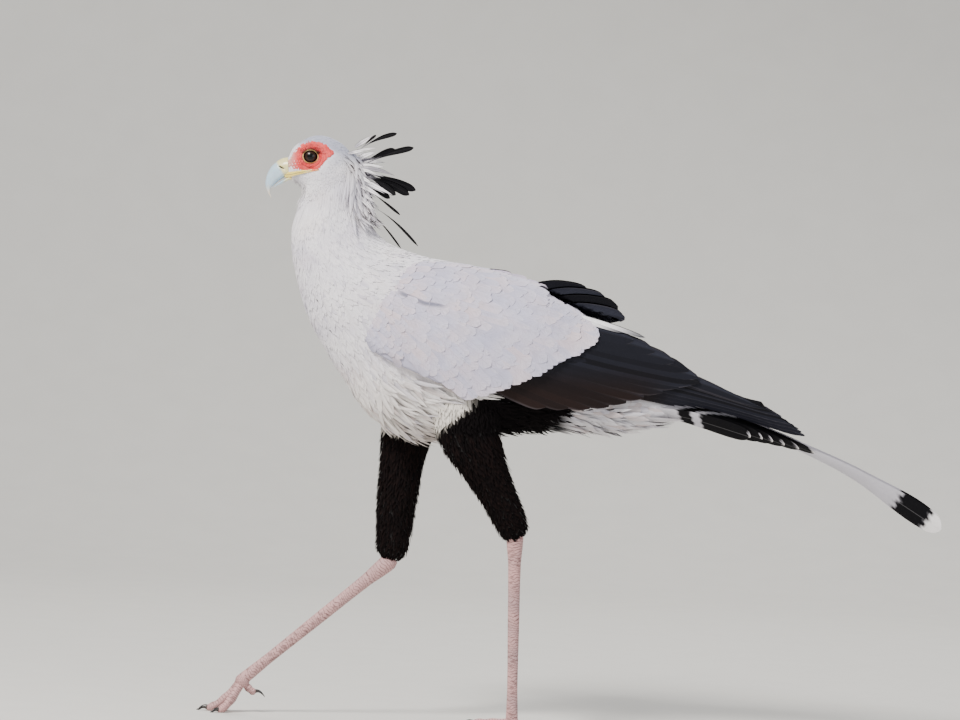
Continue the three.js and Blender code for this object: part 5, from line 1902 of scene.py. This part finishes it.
    def claws(self) -> None:
        """Dark curved claws, keeled above, each from inside the end of its toe."""
        for toe in TOES:
            tip = self.toe_line(toe, np.array([toe.long * 1.0]))[0]
            way = unit(tip - self.toe_line(toe, np.array([toe.long * 0.9]))[0])
            t = np.linspace(0, 1, 48)
            sunk, thin = 3.0, toe.thick * 0.52 * (1 - t) ** 0.8 + 0.25
            spine = tip + way * ((toe.claw + sunk) * t - sunk)[:, None]
            bend = toe.claw * (0.24 * np.sin(np.pi * t) - 0.26 * t * t)
            spine[:, 2] = np.maximum(spine[:, 2] + bend, thin + 0.2)
            ahead = unit(np.gradient(spine, axis=0))
            side = unit(np.array([-ahead[0, 1], ahead[0, 0], 0.0]))[None]
            up = np.cross(ahead, side)
            up = up * np.sign(up[:, 2:3])
            turn = turns(32)
            wide = 0.8 * thin[:, None] * np.sin(turn) * (1 - 0.25 * np.cos(turn))
            grid = about(spine[:, None], up[:, None], side[:, None], thin[:, None] * np.cos(turn), wide)
            grid[..., 2] = np.maximum(grid[..., 2], 0.0)
            colour = mix(srgb(70, 60, 56), srgb(30, 26, 26), blend(0.0, 0.6, t))[:, None] + 0 * grid
            batch = Batch()
            tube(batch, grid, with_edge(colour))
            name = f"{self.side.label}_{toe.name}"
            piece = batch.emit(f"talon_{name}", self.finishes.claw, "claw_horn")
            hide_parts(f"claw_{name}")

    def build(self) -> None:
        """Every piece of the leg."""
        self.tarsus()
        self.foot()
        self.claws()


def stand(thing: bpy.types.Object, right: Array, up: Array, back: Array, place: Array) -> None:
    """Puts a camera or lamp in the scene at a place, turned onto three axes."""
    turned = np.eye(4)
    turned[:3] = np.column_stack([right, up, back, place])
    thing.matrix_world = Matrix(turned.tolist())
    bpy.context.scene.collection.objects.link(thing)


@dataclass(frozen=True)
class Lamp:
    """A square soft light: its name, place, edge length, power and colour."""

    name: str
    place: Triple
    size: float
    power: float
    colour: Triple


LAMPS = (Lamp("key", (-2.2, -2.6, 3.8), 1.2, 360.0, (1.0, 0.97, 0.92)),
         Lamp("fill", (3.0, -3.4, 1.6), 2.4, 60.0, (0.92, 0.95, 1.0)),
         Lamp("rim", (0.8, 2.4, 3.0), 1.6, 80.0, (1.0, 0.98, 0.95)))


@dataclass(frozen=True)
class Studio:
    """Camera, pale sweep and soft lights, in metres and at the bird's own place along x."""

    aim_height: float = 0.551
    camera_height: float = 0.925
    distance: float = 9.0
    lens: float = 225.0
    roll: float = math.radians(3.0)
    light_aim: float = 0.5
    world_strength: float = 0.5

    def camera(self) -> None:
        """A long lens from the left side, turned so that the bird leans as in the photo."""
        aim = np.array([SHIFT[0] * MM, 0.0, self.aim_height])
        eye = np.array([aim[0], -self.distance, self.camera_height])
        ahead = unit(aim - eye)
        level = unit(np.cross(ahead, Z_AXIS))
        right = level * math.cos(self.roll) + np.cross(level, ahead) * math.sin(self.roll)
        up = np.cross(right, ahead)
        data = bpy.data.cameras.new("camera")
        data.lens, data.sensor_width = self.lens, 36.0
        data.clip_start, data.clip_end = 0.1, 60.0
        camera = bpy.data.objects.new("camera", data)
        stand(camera, right, up, -ahead, eye)
        bpy.context.scene.camera = camera

    def sweep(self) -> None:
        """A pale floor that curves up into a backdrop behind the bird."""
        bend = np.linspace(0, np.pi / 2, 24)
        y = np.concatenate([[-14.0], 2.5 + 2.0 * np.sin(bend), [4.5]])
        z = np.concatenate([[0.0], 2.0 - 2.0 * np.cos(bend), [9.0]])
        points = [(x, float(a), float(b)) for x in (-12.0, 12.0) for a, b in zip(y, z)]
        n = len(y)
        faces = [(i, n + i, n + i + 1, i + 1) for i in range(n - 1)]
        mesh = bpy.data.meshes.new("sweep")
        mesh.from_pydata(points, [], faces)
        mesh.polygons.foreach_set("use_smooth", np.ones(len(faces), bool))
        floor = bpy.data.objects.new("sweep", mesh)
        bpy.context.scene.collection.objects.link(floor)
        g = Graph("Pale sweep")
        grain = g.noise(g.place(), 14.0)
        g.bump(g.noise(g.place(), 600.0), 0.05, 0.0005)
        colour = g.mix(grain, rgba(srgb(205, 203, 198)), rgba(srgb(212, 210, 205)))
        mesh.materials.append(g.finish(Base_Color=colour, Roughness=0.85))

    def light(self, lamp: Lamp) -> None:
        """A lamp that faces the bird's middle."""
        data = bpy.data.lights.new(lamp.name, "AREA")
        data.size, data.energy, data.color = lamp.size, lamp.power, lamp.colour
        back = unit(np.array(lamp.place) - np.array([0.0, 0.0, self.light_aim]))
        right = unit(np.cross(Z_AXIS, back))
        stand(bpy.data.objects.new(lamp.name, data), right, np.cross(back, right), back, np.array(lamp.place))

    def build(self) -> None:
        """Camera, sweep, three lights and a pale world."""
        self.camera()
        self.sweep()
        for lamp in LAMPS:
            self.light(lamp)
        world = bpy.data.worlds.new("world")
        world.use_nodes = True
        background = world.node_tree.nodes["Background"]
        background.inputs[0].default_value = (0.9, 0.93, 1.0, 1.0)
        background.inputs[1].default_value = self.world_strength
        bpy.context.scene.world = world


def main() -> None:
    """Builds the bird and its studio."""
    logging.basicConfig(level=logging.INFO, format="%(name)s: %(message)s")
    rng = np.random.default_rng(SEED)
    Studio().build()
    finishes = Finishes.make()
    Body(finishes, rng).build()
    for side in Side:
        Wing(side, finishes, rng).build()
        Leg(side, finishes).build()
    Tail(finishes, rng).build()
    Crest(finishes, rng).build()
    Head(finishes, rng).build()


if __name__ == "__main__":
    main()
